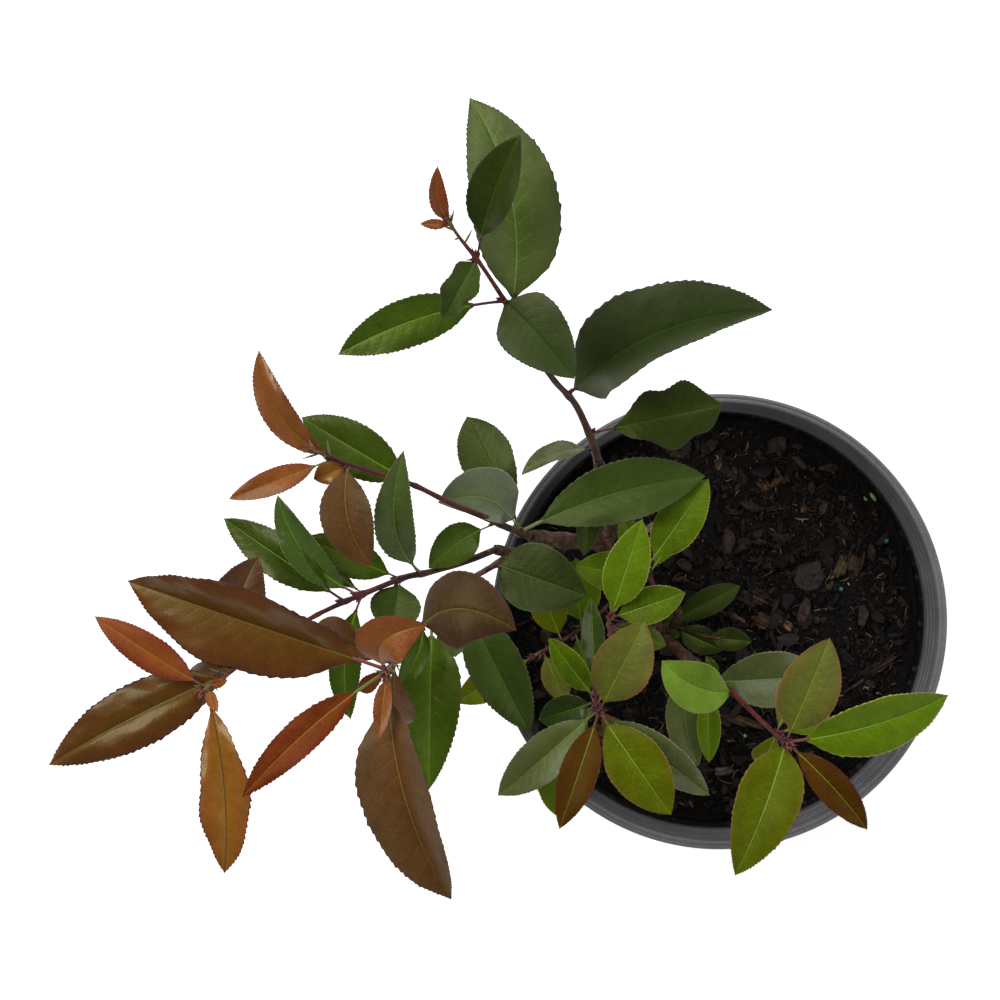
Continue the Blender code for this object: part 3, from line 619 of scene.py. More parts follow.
# Mesh helpers
class Mesh:
    """Points, faces, each face's finish and each point's marks, gathered for one piece."""

    def __init__(self):
        self.points = []
        self.faces = []
        self.finishes = []
        self.marks = []
        self.count = 0

    def add(self, points, faces, finish, marks=(0.0, 0.0, 0.0)):
        """Add a shape; finish is one name or one for each face."""
        points = np.asarray(points, dtype=float)
        self.points.append(points)
        self.faces += [tuple(int(corner) + self.count for corner in face) for face in faces]
        self.finishes += [finish] * len(faces) if isinstance(finish, str) else list(finish)
        self.marks.append(np.broadcast_to(np.asarray(marks, dtype=float), (len(points), 3)))
        self.count += len(points)

    def piece(self, name, replaced=(), mark_names=("vein", "across", "shade"),
              facets=False):
        """Make the piece, with its finishes and marks, shaded smooth or in facets."""
        mesh = bpy.data.meshes.new(name)
        mesh.from_pydata(np.concatenate(self.points) * MM, [], self.faces)
        used = sorted(set(self.finishes))
        for finish in used:
            mesh.materials.append(FINISHES[finish])
        order = {finish: index for index, finish in enumerate(used)}
        mesh.polygons.foreach_set("material_index", [order[f] for f in self.finishes])
        if not facets:
            mesh.shade_smooth()
        marks = np.concatenate(self.marks)
        for column, mark_name in enumerate(mark_names):
            made = mesh.attributes.new(mark_name, "FLOAT", "POINT")
            made.data.foreach_set("value", marks[:, column].astype(np.float32))
        mesh.validate()
        thing = bpy.data.objects.new(name, mesh)
        bpy.context.scene.collection.objects.link(thing)
        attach(thing, "root")
        if replaced:
            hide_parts(*replaced)


def circle(sides):
    """The cosine and sine of each of this many even steps round a circle."""
    angles = [math.tau * step / sides for step in range(sides)]
    return [(math.cos(angle), math.sin(angle)) for angle in angles]


def band(low, high, sides, inward=False):
    """The faces between two rings of points, which start at the numbers low and high."""
    faces = []
    for side in range(sides):
        after = (side + 1) % sides
        face = (low + side, low + after, high + after, high + side)
        faces.append(face[:1] + face[:0:-1] if inward else face)
    return faces


def ring_faces(rings, sides, inward=False):
    """The faces of a capped tube whose rings of points follow each other."""
    faces = []
    for ring in range(rings - 1):
        faces += band(ring * sides, (ring + 1) * sides, sides, inward)
    foot = tuple(range(sides))
    head = tuple(range((rings - 1) * sides, rings * sides))
    return faces + ([foot, head[::-1]] if inward else [foot[::-1], head])


def smooth(route, pieces):
    """Points on a smooth curve through a route's points."""
    knots = [Vector(point) for point in route]
    knots = [2 * knots[0] - knots[1]] + knots + [2 * knots[-1] - knots[-2]]
    line = []
    for a, b, c, d in zip(knots, knots[1:], knots[2:], knots[3:]):
        for step in range(pieces):
            t = step / pieces
            line.append(0.5 * (2 * b + (c - a) * t + (2 * a - 5 * b + 4 * c - d) * t ** 2
                               + (3 * b - a - 3 * c + d) * t ** 3))
    line.append(knots[-2])
    return line


def lengths_along(line):
    """The distance of each point of a line from its start."""
    travelled = [0.0]
    for a, b in zip(line, line[1:]):
        travelled.append(travelled[-1] + (b - a).length)
    return travelled


def point_along(line, share):
    """The point at a share of a line's length."""
    travelled = lengths_along(line)
    goal = max(0.0, min(1.0, share)) * travelled[-1]
    for index in range(len(line) - 1):
        if goal <= travelled[index + 1]:
            run = travelled[index + 1] - travelled[index]
            return line[index].lerp(line[index + 1], (goal - travelled[index]) / run)
    return line[-1].copy()


def frames_along(line):
    """A side and a top square to a line at each of its points, turning as little as may be."""
    frames = []
    side = None
    for index in range(len(line)):
        ahead = (line[min(index + 1, len(line) - 1)] - line[max(index - 1, 0)]).normalized()
        if side is None:
            side = ahead.cross(UP if abs(ahead.z) < 0.95 else Vector((0, 1, 0)))
        side = (side - ahead * side.dot(ahead)).normalized()
        frames.append((side, side.cross(ahead)))
    return frames


def heading(bearing, rise=0.0):
    """A vector one long on the level at a bearing in degrees, with this rise."""
    turn = math.radians(bearing)
    return Vector((math.cos(turn), math.sin(turn), rise))


def tube(mesh, line, radii, sides, finish, relief=0.0, seed=0.0, marks=None, frames=None):
    """A tapering tube along a line, with bark relief of this many millimetres."""
    points = []
    turn = circle(sides)
    for middle, radius, (side, top) in zip(line, radii, frames or frames_along(line)):
        for cosine, sine in turn:
            out = side * cosine + top * sine
            bumps = 0.0
            if relief:
                place = middle * 0.16 + out * 1.3 + Vector((seed, seed, seed))
                furrow = middle * 0.05 + out * 2.6 + Vector((seed, 0, 0))
                bumps = relief * (noise.noise(place) + 0.7 * noise.noise(furrow))
            points.append(middle + out * (radius + bumps))
    marks = [(0.0, 0.0, 0.0)] * len(line) if marks is None else marks
    mesh.add(points, ring_faces(len(line), sides), finish, np.repeat(marks, sides, axis=0))


def scale_bud(mesh, base, ahead, length, radius, finish):
    """A small pointed bud or stipule on a stem."""
    ahead = ahead.normalized()
    line = [base + ahead * length * share for share, _ in BUD_PROFILE]
    radii = [radius * size for _, size in BUD_PROFILE]
    side = ahead.cross(UP if abs(ahead.z) < 0.9 else Vector((1, 0, 0))).normalized()
    tube(mesh, line, radii, BUD_SIDES, finish, marks=[(0.0, 0.0, 0.5)] * len(line),
         frames=[(side, side.cross(ahead))] * len(line))


# Leaves
def blade_share(u, belly):
    """The blade's half width at u, from its foot at 0 to its tip at 1, as a share."""
    power = math.log(0.5) / math.log(belly)
    return np.clip(np.sin(np.pi * np.clip(u, 0, 1) ** power), 0, 1) ** FULLNESS_POWER


def outline_share(u, belly):
    """The blade's half width at u with straight-sided, pointed ends, as a share."""
    knots = np.array(LEAF_STATIONS + (1.0,))
    widths = blade_share(knots, belly)
    knots = np.concatenate([[-knots[1]], knots, [2 - knots[-2]]])
    widths = np.concatenate([[-widths[1]], widths, [-widths[-2]]])
    total = sum(np.interp(u + step, knots, widths) for step in OUTLINE_STEPS)
    return np.maximum(total / len(OUTLINE_STEPS), 0)


def unit(vectors):
    """Vectors scaled to a length of one."""
    return vectors / np.linalg.norm(vectors, axis=-1, keepdims=True)


def leaf_frames(leaf, root, t):
    """The midrib's points, directions, sides and tops at shares t of a leaf's length."""
    bearing = math.radians(leaf.bearing)
    rise = math.radians(leaf.rise)
    ahead = np.array((math.cos(bearing) * math.cos(rise), math.sin(bearing) * math.cos(rise),
                      math.sin(rise)))
    left = np.array((-math.sin(bearing), math.cos(bearing), 0.0))
    top = np.cross(ahead, left)
    t = np.asarray(t)[..., None]
    hump = 4 * leaf.length * t * (1 - t)
    point = np.array(root) + ahead * leaf.length * t + top * leaf.arch * hump \
        + left * leaf.sweep * hump
    slope = 4 * (1 - 2 * t)
    direction = unit(ahead + top * leaf.arch * slope + left * leaf.sweep * slope)
    side = unit(np.cross(top, direction))
    turn = math.radians(leaf.roll)
    side = side * math.cos(turn) + np.cross(direction, side) * math.sin(turn)
    return point, direction, side, np.cross(direction, side)


def leaf_faces(rows):
    """The faces of a blade's two sides, and which part of the leaf each one is."""
    over = np.arange(rows * COLUMNS).reshape(rows, COLUMNS)
    below = over.copy()
    below[:, 1:-1] = rows * COLUMNS + np.arange(rows * (COLUMNS - 2)).reshape(rows, -1)
    faces = []
    parts = []
    for strip in range(COLUMNS - 1):
        for grid, part in ((over, "_blade"), (below, "_under")):
            if strip in (0, COLUMNS - 2):
                part = "_edge"
            elif strip in (MARGIN - 1, MARGIN):
                part = "_rib"
            corners = (grid[:-1, strip], grid[1:, strip], grid[1:, strip + 1],
                       grid[:-1, strip + 1])
            faces += zip(*(corners if grid is over else corners[::-1]))
            parts += [part] * (rows - 1)
    faces.append(tuple(over[0]) + tuple(below[0, -2:0:-1]))
    faces.append(tuple(over[-1, ::-1]) + tuple(below[-1, 1:-1]))
    return faces, parts + ["_rib", "_rib"]


def both_sides(over, below):
    """The rows of a blade's upper side, then those below it inside the margins."""
    return np.concatenate([over.reshape(-1, 3), below[:, 1:-1].reshape(-1, 3)])


def grow_leaf(mesh, leaf, root, seed, stalks):
    """One leaf: a thin closed blade with teeth, folded halves and sunk veins, and its stalk."""
    dice = random.Random(seed)
    tint = TINTS[leaf.tint]
    blade_length = leaf.length * (1 - leaf.stalk)
    size = min(MOST_SIZE, max(LEAST_SIZE, blade_length / TYPICAL_BLADE))
    teeth = max(8, round(blade_length / (TOOTH_PITCH * size)))
    rows = 2 * teeth + 1

    # Where each point lies: along from foot to tip, and by its share from rib to margin
    row = np.arange(rows)[:, None]
    column = np.arange(-MARGIN, MARGIN + 1)[None, :]
    number = np.abs(column)
    hand = np.sign(column)
    share = np.array(COLUMN_SHARES)[number]
    u = row / (rows - 1)
    slant = min(MOST_SLANT, VEIN_SLANT * leaf.width / 2 / blade_length)
    toothed = (number == MARGIN) & (row % 2 == 1)
    along = u + slant * np.sin(np.pi * u) * share ** 1.1
    along = along + toothed * TOOTH_LEAN / (rows - 1) * np.sin(np.pi * u) ** 0.3
    along = np.clip(along, 0, 1)

    # The outline: lobes, an ear at the foot, and teeth of uneven depth
    lobe = 1 + leaf.lobes * np.sin(along * 15 + hand * 1.3 + seed) * share \
        + leaf.ear * (hand < 0) * share * np.exp(-((along - EAR_PLACE) / EAR_REACH) ** 2)
    half = leaf.width / 2 * outline_share(along, leaf.belly) * lobe
    foot = FOOT_HALF_WIDTH * size
    half = np.maximum(half, np.where(along < 0.5, foot * (1 - along * 2), 0) + TIP_HALF_WIDTH)
    rib_half = np.minimum(RIB_HALF_WIDTH * size * (1 - 0.72 * along), half * 0.4)
    depth = TOOTH_DEPTH * size * np.clip((along - 0.06) / 0.1, 0, 1) \
        * np.clip((1 - along) / 0.05, 0.2, 1)
    uneven = np.array([[dice.uniform(0.45, 1.35) for _ in range(2)] for _ in range(rows)])
    uneven = np.where(hand < 0, uneven[:, :1], uneven[:, 1:])
    offset = np.where(number == 0, 0, rib_half + (half - rib_half) * share) \
        + toothed * depth * uneven

    # The height: folded halves, swellings between veins, wavy margins and shallow buckles
    fold = math.radians(leaf.fold) * np.clip(along / 0.18, 0.25, 1)
    gap = max(4, round(VEIN_PITCH * size / (blade_length / (rows - 1))))
    swell = np.sin(np.pi * ((row % gap) / gap)) ** 1.4
    window = np.clip(share / 0.22, 0, 1) * np.clip((1 - share) / 0.22, 0, 1)
    quilt = tint.quilt * size * (swell - 0.55) * window
    sway = dice.uniform(0, 6)
    lift = np.sin(fold) * (np.sqrt(offset ** 2 + FOLD_SOFTNESS ** 2) - FOLD_SOFTNESS) \
        + leaf.cup * offset ** 2 / np.maximum(half, 1) \
        + BULGE * size * np.sin(np.pi * share) * np.sin(np.pi * along) \
        + SWAY * size * share * np.sin(math.tau * (1.3 * along + 0.35 * share)
                                       + hand * 1.7 + sway)
    waves = dice.uniform(1.6, 2.6)
    wave = leaf.wave * size * share ** 2 * np.sin(
        math.tau * waves * along + hand * 0.9 + dice.uniform(0, 6)) * np.sin(np.pi * along)
    groove = -GROOVE_DEPTH * size * (number == 0)
    far = along * blade_length
    aside = hand * offset
    turns = [dice.uniform(0, math.tau) for _ in range(4)]
    buckle = tint.buckle * size * share ** 0.6 * np.sin(np.pi * along) ** 0.5 * (
        np.sin(far * 0.13 + aside * 0.50 + turns[0]) * np.sin(far * 0.21 - aside * 0.18 + turns[1])
        + 0.32 * np.sin(far * 0.46 + aside * 0.78 + turns[2]) * np.sin(aside * 0.6 + turns[3]))
    height = lift + quilt + wave + groove + buckle

    middle, _, side, top = leaf_frames(leaf, root, leaf.stalk + (1 - leaf.stalk) * along)
    across = (hand * offset * np.cos(fold))[..., None]
    upper = middle + side * across + top * height[..., None]
    thick = BLADE_THICKNESS * size * (1 - 0.35 * share) + (number <= 1) * size \
        * (0.62 - 0.2 * number) * (1 - 0.75 * along)
    lower = upper - top * thick[..., None]
    vein = np.where((row % gap == 0) & (number > 0) & (number < MARGIN), 1 - share ** 2, 0.0)
    # The shade mark: a random tone for this leaf plus its light value, which holds painted highlight and
    # painted shade
    shade = dice.random() + leaf.light / SHADE_REACH
    marks = np.stack(np.broadcast_arrays(vein, share, np.full((rows, COLUMNS), shade)), axis=-1)
    faces, parts = leaf_faces(rows)
    mesh.add(both_sides(upper, lower), faces, [leaf.tint + part for part in parts],
             both_sides(marks, marks))
    grow_stalk(mesh, leaf, root, size, "stalk_" + (leaf.stem or stalks))


def grow_stalk(mesh, leaf, root, size, finish):
    """A leaf's stalk, from inside its stem to just inside the blade's foot."""
    t = np.linspace(0.0, leaf.stalk + 0.02, STALK_STEPS)
    line, _, side, top = leaf_frames(leaf, root, t)
    points = []
    for index in range(STALK_STEPS):
        thick = size * (1.0 - 0.3 * min(1.0, index / 2)) * 0.92
        sink = 0.35 * size * (index / (STALK_STEPS - 1)) ** 2
        for cosine, sine in circle(STALK_SIDES):
            flat = 0.82 if sine > 0 else 1.0
            points.append(line[index] - top[index] * sink + side[index] * thick * cosine
                          + top[index] * thick * flat * sine)
    mesh.add(points, ring_faces(STALK_STEPS, STALK_SIDES), finish)


def with_under_leaves(leaves, length):
    """The shoot's leaves, with the older leaf that hangs below each one marked for it."""
    grown = []
    for leaf in leaves:
        grown.append(leaf)
        if leaf.under:
            grown.append(replace(leaf, at=leaf.at - UNDER_SLIP / length,
                                 bearing=leaf.bearing + leaf.under_turn,
                                 rise=leaf.rise - UNDER_DROP, length=leaf.length * leaf.under,
                                 width=leaf.width * UNDER_WIDTH_SHARE, sweep=0.0, roll=0.0,
                                 belly=UNDER_BELLY, under=0.0))
    return grown


def grow_shoot(shoot, number):
    """One leafy shoot: its leaves joined in one piece, and its stem in another."""
    leaves = Mesh()
    stem = Mesh()
    line = smooth(shoot.route, 6)
    travelled = lengths_along(line)
    length = travelled[-1]
    dice = random.Random(number * 77 + 5)
    nodes = []
    for index, leaf in enumerate(with_under_leaves(shoot.leaves, length)):
        at = max(0.02, min(0.985, leaf.at))
        root = point_along(line, at)
        grow_leaf(leaves, leaf, root, number * 100 + index, shoot.stalks)
        nodes.append((at, leaf, root))
    radii = []
    marks = []
    for distance in travelled:
        share = distance / length
        radius = shoot.radius(share) * shoot.fineness
        for at, leaf, _ in nodes:
            near = (share - at) * length
            radius += NODE_SWELL * math.exp(-(near / 1.5) ** 2) * min(1.0, leaf.length / 40)
        radii.append(min(radius, shoot.thick * 1.25))
        marks.append((share, shoot.age, dice.random()))
    tube(stem, line, radii, 12, "twig", 0.14, number, marks)
    for at, leaf, root in nodes:
        out = heading(leaf.bearing)
        ahead = (point_along(line, at + 0.03) - point_along(line, at - 0.03)).normalized()
        radius = shoot.radius(at)
        scale_bud(stem, root + out * radius * 0.8 + ahead * 1.2, ahead + out * 0.7, 2.6, 0.75, "bud")
        if at > 0.8:
            for turn in (-0.8, 0.8):
                aside = Matrix.Rotation(turn, 3, ahead) @ out
                start = root + aside * radius * 0.7
                scale_bud(stem, start, ahead * 0.8 + aside, dice.uniform(3.0, 5.5), 0.32, "bud")
    grow_tip(stem, line, shoot)
    leaves.piece(shoot.name + "_leaves", (shoot.name,))
    stem.piece(shoot.name + "_stem", (), ("along", "age", "shade"))


def grow_tip(stem, line, shoot):
    """The buds round a stem's tip, and the stipules under them on a growing stem."""
    ahead = (line[-1] - line[-3]).normalized()
    side = frames_along(line)[-1][0]
    resting = shoot.fineness < STEM_FINENESS
    for turn in range(2 if resting else 5):
        aside = Matrix.Rotation(turn * 2.4, 3, ahead) @ side
        scale_bud(stem, line[-1] + aside * 0.5, ahead + aside * 0.45, 2.0 if resting else 3.4,
                  0.62, "bud" if resting else "bud_tip")
    for turn in range(0 if resting or shoot.age < GREEN_TIP_AGE else 4):
        aside = Matrix.Rotation(turn * 1.9 + 0.6, 3, ahead) @ side
        start = point_along(line, 0.985 - 0.022 * turn)
        scale_bud(stem, start + aside * 0.6, ahead * 0.8 + aside, 5.0 + turn % 2 * 2.0, 0.45,
                  "stipule")


def mottled(name, base, contrast, rough, rough_spread, gloss, scale, detail=2.0, relief=0.0):
    """One colour mottled lighter and darker by this contrast."""
    finish = Finish(name, Specular_IOR_Level=gloss)
    mottle = finish.grain(scale, detail)
    finish.set(Base_Color=finish.dim(base, 1 - contrast + mottle * (2 * contrast)),
               Roughness=rough + mottle * rough_spread)
    if relief:
        finish.relief(mottle, relief)


def leaf_finishes():
    """The blade, underside, rib and edge finishes of each tint, and the stalks."""
    for name, tint in TINTS.items():
        finish = Finish(name + "_blade", Coat_Weight=tint.coat, Coat_Roughness=0.13,
                        Specular_IOR_Level=tint.gloss,
                        Specular_Tint=(1.0, 1.0, min(1.0, 0.3 + 28 * tint.blade[2]), 1.0))
        across = finish.mark("across")
        shade = finish.mark("shade")
        mottle = finish.grain(70.0, 3.0)
        cloud = finish.grain(230.0, 4.0, 0.65)
        fleck = finish.grain(900.0, 2.0)
        towards_rib = 1 - finish.clip(across, 0.0, 0.55)
        towards_edge = finish.clip(across, 0.55, 1.05)
        colour = finish.mix(towards_rib * (0.35 + mottle * 0.5), tint.blade, tint.heart)
        colour = finish.mix(towards_edge * 0.65, colour, tint.rim)
        vein = finish.clip(finish.mark("vein"), 0.55, 1.0)
        colour = finish.mix(vein * tint.veins, colour, tint.rib)
        cells = finish.node("ShaderNodeTexVoronoi", {"feature": "DISTANCE_TO_EDGE"},
                            {"Vector": finish.place(), "Scale": 620.0})
        net = finish.clip(cells, 0.0, 0.16)
        # The shade mark lightens or darkens the whole blade: random tone together with painted highlight
        # and painted shade
        colour = finish.dim(colour, 0.02 + shade * SHADE_REACH + mottle * 0.60 + cloud * 0.64
                            + fleck * 0.34 + net * 0.14)
        finish.set(Base_Color=colour, Roughness=tint.rough - 0.05 + mottle * 0.12)
        finish.relief(net * 0.5 + fleck * 0.5 - vein * 0.8, 0.00010,
                      0.35 if tint.coat > 0.1 else 0.6)

        finish = Finish(name + "_under", Specular_IOR_Level=0.3)
        mottle = finish.grain(120.0, 3.0)
        vein = finish.clip(finish.mark("vein"), 0.3, 1.0)
        colour = finish.mix(vein * 0.4, tint.under, tint.rib)
        finish.set(Base_Color=finish.dim(colour, 0.8 + mottle * 0.4),
                   Roughness=0.5 + mottle * 0.2)
        mottled(name + "_rib", tint.rib, 0.22, tint.rough, 0.1, 0.35, 260.0)
        mottled(name + "_edge", tint.edge, 0.22, tint.rough, 0.1, 0.35, 260.0)
    for name, base in STALKS.items():
        mottled("stalk_" + name, base, 0.3, 0.4, 0.12, 0.4, 240.0, 3.0, 0.0001)


def wood_finishes():
    """Bark of the old wood, skin of the young stems, and buds."""
    finish = Finish("bark", Specular_IOR_Level=0.3)
    long_grain = finish.grain(240.0, 5.0, 0.65)
    blotch = finish.grain(70.0, 2.0)
    ramp = finish.ramp(long_grain, (0.28, srgb(30, 20, 16)), (0.52, srgb(84, 60, 47)),
                       (0.78, srgb(150, 126, 108)))
    colour = finish.mix(finish.clip(blotch, 0.45, 0.7) * 0.4, ramp, srgb(82, 48, 38))
    finish.set(Base_Color=colour, Roughness=0.68 + blotch * 0.2)
    finish.relief(long_grain + finish.grain(900.0, 4.0, 0.7) * 0.6, 0.0009)

    finish = Finish("twig", Specular_IOR_Level=0.26)
    along = finish.mark("along")
    age = finish.mark("age")
    speckle = finish.grain(520.0, 3.0)
    blotch = finish.grain(120.0, 3.0)
    patch = finish.clip(blotch, 0.3, 0.7)
    old = finish.mix(patch, srgb(44, 27, 22), srgb(98, 64, 48))
    young = finish.mix(patch, srgb(52, 18, 24), srgb(106, 38, 40))
    oldness = finish.clip(age * 1.5 - along * 1.2 + blotch * 0.4, 0.0, 0.7)
    colour = finish.mix(oldness, young, old)
    tip = finish.clip(along, 0.90, 0.99) * finish.clip(age, 0.32, 0.35)
    colour = finish.mix(tip * 0.8, colour, srgb(112, 96, 52))
    lenticel = finish.clip(speckle, 0.64, 0.72)
    colour = finish.mix(lenticel * 0.5, colour, srgb(160, 130, 108))
    finish.set(Base_Color=colour, Roughness=0.42 + blotch * 0.25)
    finish.relief(speckle + blotch, 0.0002)

    for name, base in (("bud", srgb(84, 38, 38)), ("bud_tip", srgb(122, 66, 48)),
                       ("stipule", srgb(112, 108, 52))):
        mottled(name, base, 0.3, 0.4, 0.1, 0.4, 700.0)


def grow_wood():
    """The trunk and the boughs with their bark, each piece standing for its solid."""
    for number, limb in enumerate((TRUNK,) + BOUGHS):
        mesh = Mesh()
        line = smooth(limb.route, 12)
        travelled = lengths_along(line)
        length = travelled[-1]
        radii = []
        for distance in travelled:
            share = distance / length
            radius = limb.radius(share)
            if limb is TRUNK:
                radius *= 1 + TRUNK_FLARE * max(0.0, 1 - share * 3)
            ring = 0.35 * math.exp(-((share * length) % 17 - 8.5) ** 2 / 3.0)
            radii.append(radius + ring)
        tube(mesh, line, radii, 24, "bark", 0.55, number * 3.7)
        frames = frames_along(line)
        for knot in range(3 + number % 2):
            share = 0.2 + 0.22 * knot
            side, top = frames[int(share * (len(line) - 1))]
            out = Matrix.Rotation(knot * 2.3 + number, 3, side.cross(top)) @ side
            base = point_along(line, share) + out * limb.thin * 0.75
            scale_bud(mesh, base, out, 2.4, 1.5, "bark")
        mesh.piece(limb.name + "_bark", (limb.name,))


# Pot
def wall_radius(height):
    """The inner radius of the pot's sloping wall at a height, in millimetres."""
    top = POT_HEIGHT - POT_BAND_HEIGHT
    outer = POT_RIM_RADIUS - POT_STEP - POT_WALL * 0.5
    return POT_BASE_RADIUS + (outer - POT_BASE_RADIUS) * height / top - POT_WALL


def turned(mesh, profile, sides, finish, inner):
    """A shape turned about Z from a closed profile, marked from its point number inner on."""
    turn = circle(sides)
    points = [(radius * cosine, radius * sine, height)
              for radius, height in profile for cosine, sine in turn]
    faces = []
    for index in range(len(profile)):
        faces += band(index * sides, (index + 1) % len(profile) * sides, sides)
    marks = np.zeros((len(points), 3))
    marks[inner * sides:, 1] = 1.0
    mesh.add(points, faces, finish, marks)


def build_pot():
    """The pot's wall with its stepped, ridged rim, and its floor with drain holes."""
    band_foot = POT_HEIGHT - POT_BAND_HEIGHT
    rim = POT_RIM_RADIUS
    wall_top = wall_radius(band_foot)
    outer = [(POT_BASE_RADIUS - 3, 0.0), (POT_BASE_RADIUS - 1, 0.5), (POT_BASE_RADIUS, 3.0)]
    for step in range(1, 13):
        height = 3 + (band_foot - 3) * step / 13
        outer.append((wall_radius(height) + POT_WALL, height))
    outer += [(wall_top + POT_WALL, band_foot - 0.5), (wall_top + POT_WALL + 0.6, band_foot),
              (rim - 2.0, band_foot + 1.2), (rim - 1.6, band_foot + 2.2)]
    for ridge in range(RIM_RIDGES):
        foot = band_foot + 4.0 + ridge * 3.3
        base = rim - 1.6 + 0.8 * (foot - band_foot) / POT_BAND_HEIGHT
        outer += [(base, foot), (base + 0.35, foot + 0.4), (base + 0.35, foot + 1.2),
                  (base, foot + 1.6)]
    # The lip: each point by how far it lies in from the rim and down from the top
    outer += [(rim - back, POT_HEIGHT - down) for back, down in
              ((0.9, 5.0), (0.2, 4.3), (0, 3.4), (0, 1.2), (0.35, 0.4), (1.0, 0))]
    inner = [(rim - back, POT_HEIGHT - down) for back, down in
             ((1.5, 0.1), (1.8, 0.7), (2.1, 0.1), (3.5, 0.15), (3.8, 0.8))]
    for ridge in range(RIM_RIDGES):
        foot = POT_HEIGHT - 2.0 - ridge * 4.2
        base = rim - 3.9 - 0.78 * ridge
        inner += [(base - 0.25, foot), (base - 0.60, foot - 0.7), (base - 0.62, foot - 2.2),
                  (base - 0.40, foot - 3.0)]
    first_inside = len(outer) + len(inner) + 2
    inner += [(rim - 6.9, band_foot + 3.0), (wall_top + 0.3, band_foot + 2.0),
              (wall_top, band_foot + 1.2)]
    for step in range(1, 13):
        height = band_foot + (6 - band_foot) * step / 12
        inner.append((wall_radius(height), height))
    inner.append((POT_BASE_RADIUS - 6, POT_FLOOR))
    mesh = Mesh()
    profile = [(DRAIN_FLOOR_RADIUS, 0.0)] + outer + inner + [(DRAIN_FLOOR_RADIUS, POT_FLOOR)]
    turned(mesh, profile, 240, "pot", first_inside)
    drain_floor(mesh)
    mesh.piece("nursery_pot", ("pot",))


def drain_floor(mesh):
    """Both faces of the middle of the pot's floor, with a ring of round drain holes."""
    rim = circle(HOLE_SIDES)
    for low, flip in ((0.0, False), (POT_FLOOR, True)):
        points = []
        faces = []
        for number in range(DRAIN_HOLES):
            middle = math.tau * (number + 0.5) / DRAIN_HOLES
            cosine, sine = math.cos(middle), math.sin(middle)
            faces += band(len(points), len(points) + HOLE_SIDES, HOLE_SIDES)
            for x, y in rim:
                points.append((HOLE_RING * cosine + HOLE_RADIUS * (x * cosine - y * sine),
                               HOLE_RING * sine + HOLE_RADIUS * (x * sine + y * cosine), low))
            for x, y in rim:
                reach = 1 / max(abs(x), abs(y))
                span = DRAIN_FLOOR_RADIUS - HOLE_RING if x > 0 else HOLE_RING - DISC_RADIUS
                away = HOLE_RING + x * reach * span
                turn = middle + y * reach * math.pi / DRAIN_HOLES
                points.append((away * math.cos(turn), away * math.sin(turn), low))
        mesh.add(points, [face[::-1] for face in faces] if flip else faces, "pot")
        disc = [(0, 0, low)] + [(DISC_RADIUS * x, DISC_RADIUS * y, low)
                                for x, y in circle(DISC_SIDES)]
        cut = [(0, 1 + (step + 1) % DISC_SIDES, 1 + step) for step in range(DISC_SIDES)]
        mesh.add(disc, [face[::-1] for face in cut] if flip else cut, "pot")


def pot_finish():
    """Moulded black plastic with dust, fine scratches and stains that run down the wall, and painted
    shade on the rim's band towards -X.
    """
    finish = Finish("pot", Specular_IOR_Level=0.5)
    east, north, height = finish.parts(finish.place())
    turn = finish.node("ShaderNodeMath", {"operation": "ARCTAN2"}, {0: north, 1: east})
    wrap = finish.node("ShaderNodeCombineXYZ", None, {0: turn * 9.0, 1: height * 14.0, 2: 0.0})
    streak = finish.grain(3.0, 5.0, 0.6, wrap)
    rings = finish.node("ShaderNodeCombineXYZ", None, {0: turn * 0.6, 1: height * 900.0, 2: 0.0})
    scratch = finish.grain(1.0, 3.0, 0.7, rings)
    dust = finish.grain(46.0, 5.0, 0.65)
    speck = finish.grain(900.0, 2.0)
    band_share = finish.clip(height, 0.1665, 0.171)
    lip = finish.clip(height, 0.1835, 0.1885)
    dusty = finish.clip(dust + speck * 0.3, 0.5, 0.9)
    # Painted shade: the rim's band goes from light grey to dark grey towards -X, where the leaves hang
    # over it
    ring = finish.mix(finish.clip(east, -0.090, -0.030), srgb(38, 38, 40), srgb(112, 111, 115))
    colour = finish.mix(band_share, srgb(20, 19, 20), ring)
    colour = finish.mix(lip * 0.3, colour, srgb(96, 96, 101))
    colour = finish.dim(colour, 0.06 + scratch * 1.20 + dusty * 0.25 + speck * 0.55)
    inside = finish.mark("across")
    colour = finish.mix(inside * 0.75, colour, srgb(20, 19, 19))
    stain = finish.clip(streak, 0.52, 0.66) * inside
    colour = finish.mix(stain * 0.40, colour, srgb(96, 92, 90))
    finish.set(Base_Color=colour,
               Roughness=0.32 + band_share * 0.14 + dusty * 0.12 + scratch * 0.12)
    finish.relief(scratch * 0.7 + streak * 0.4 + speck * 0.2, 0.0003, 0.6)


# Soil
def soil_height(angle, outward):
    """The soil's height at an angle; outward is 0 at the flat middle and 1 at the wall."""
    lean = (1 - math.cos(angle - math.radians(SOIL_LEAN_BEARING))) / 2
    return SOIL_TOP - outward * (SOIL_EDGE_DROP + SOIL_LEAN_DROP * lean)


def soil_surface(x, y):
    """The height of the soil's lumpy surface at a place, in millimetres."""
    radius = math.hypot(x, y)
    angle = math.atan2(y, x)
    outward = max(0.0, (radius - SOIL_FLAT_RADIUS) / (wall_radius(SOIL_TOP) - SOIL_FLAT_RADIUS))
    lumps = 1.7 * noise.fractal(Vector((x, y, 3.1)) * 0.085, 1.0, 2.0, 3)
    crumbs = 1.25 * noise.fractal(Vector((x, y, 9.4)) * 0.33, 1.0, 2.1, 4)
    grit = 0.5 * noise.noise(Vector((x, y, 1.7)) * 1.5)
    return soil_height(angle, min(1.0, outward)) + lumps + crumbs + grit


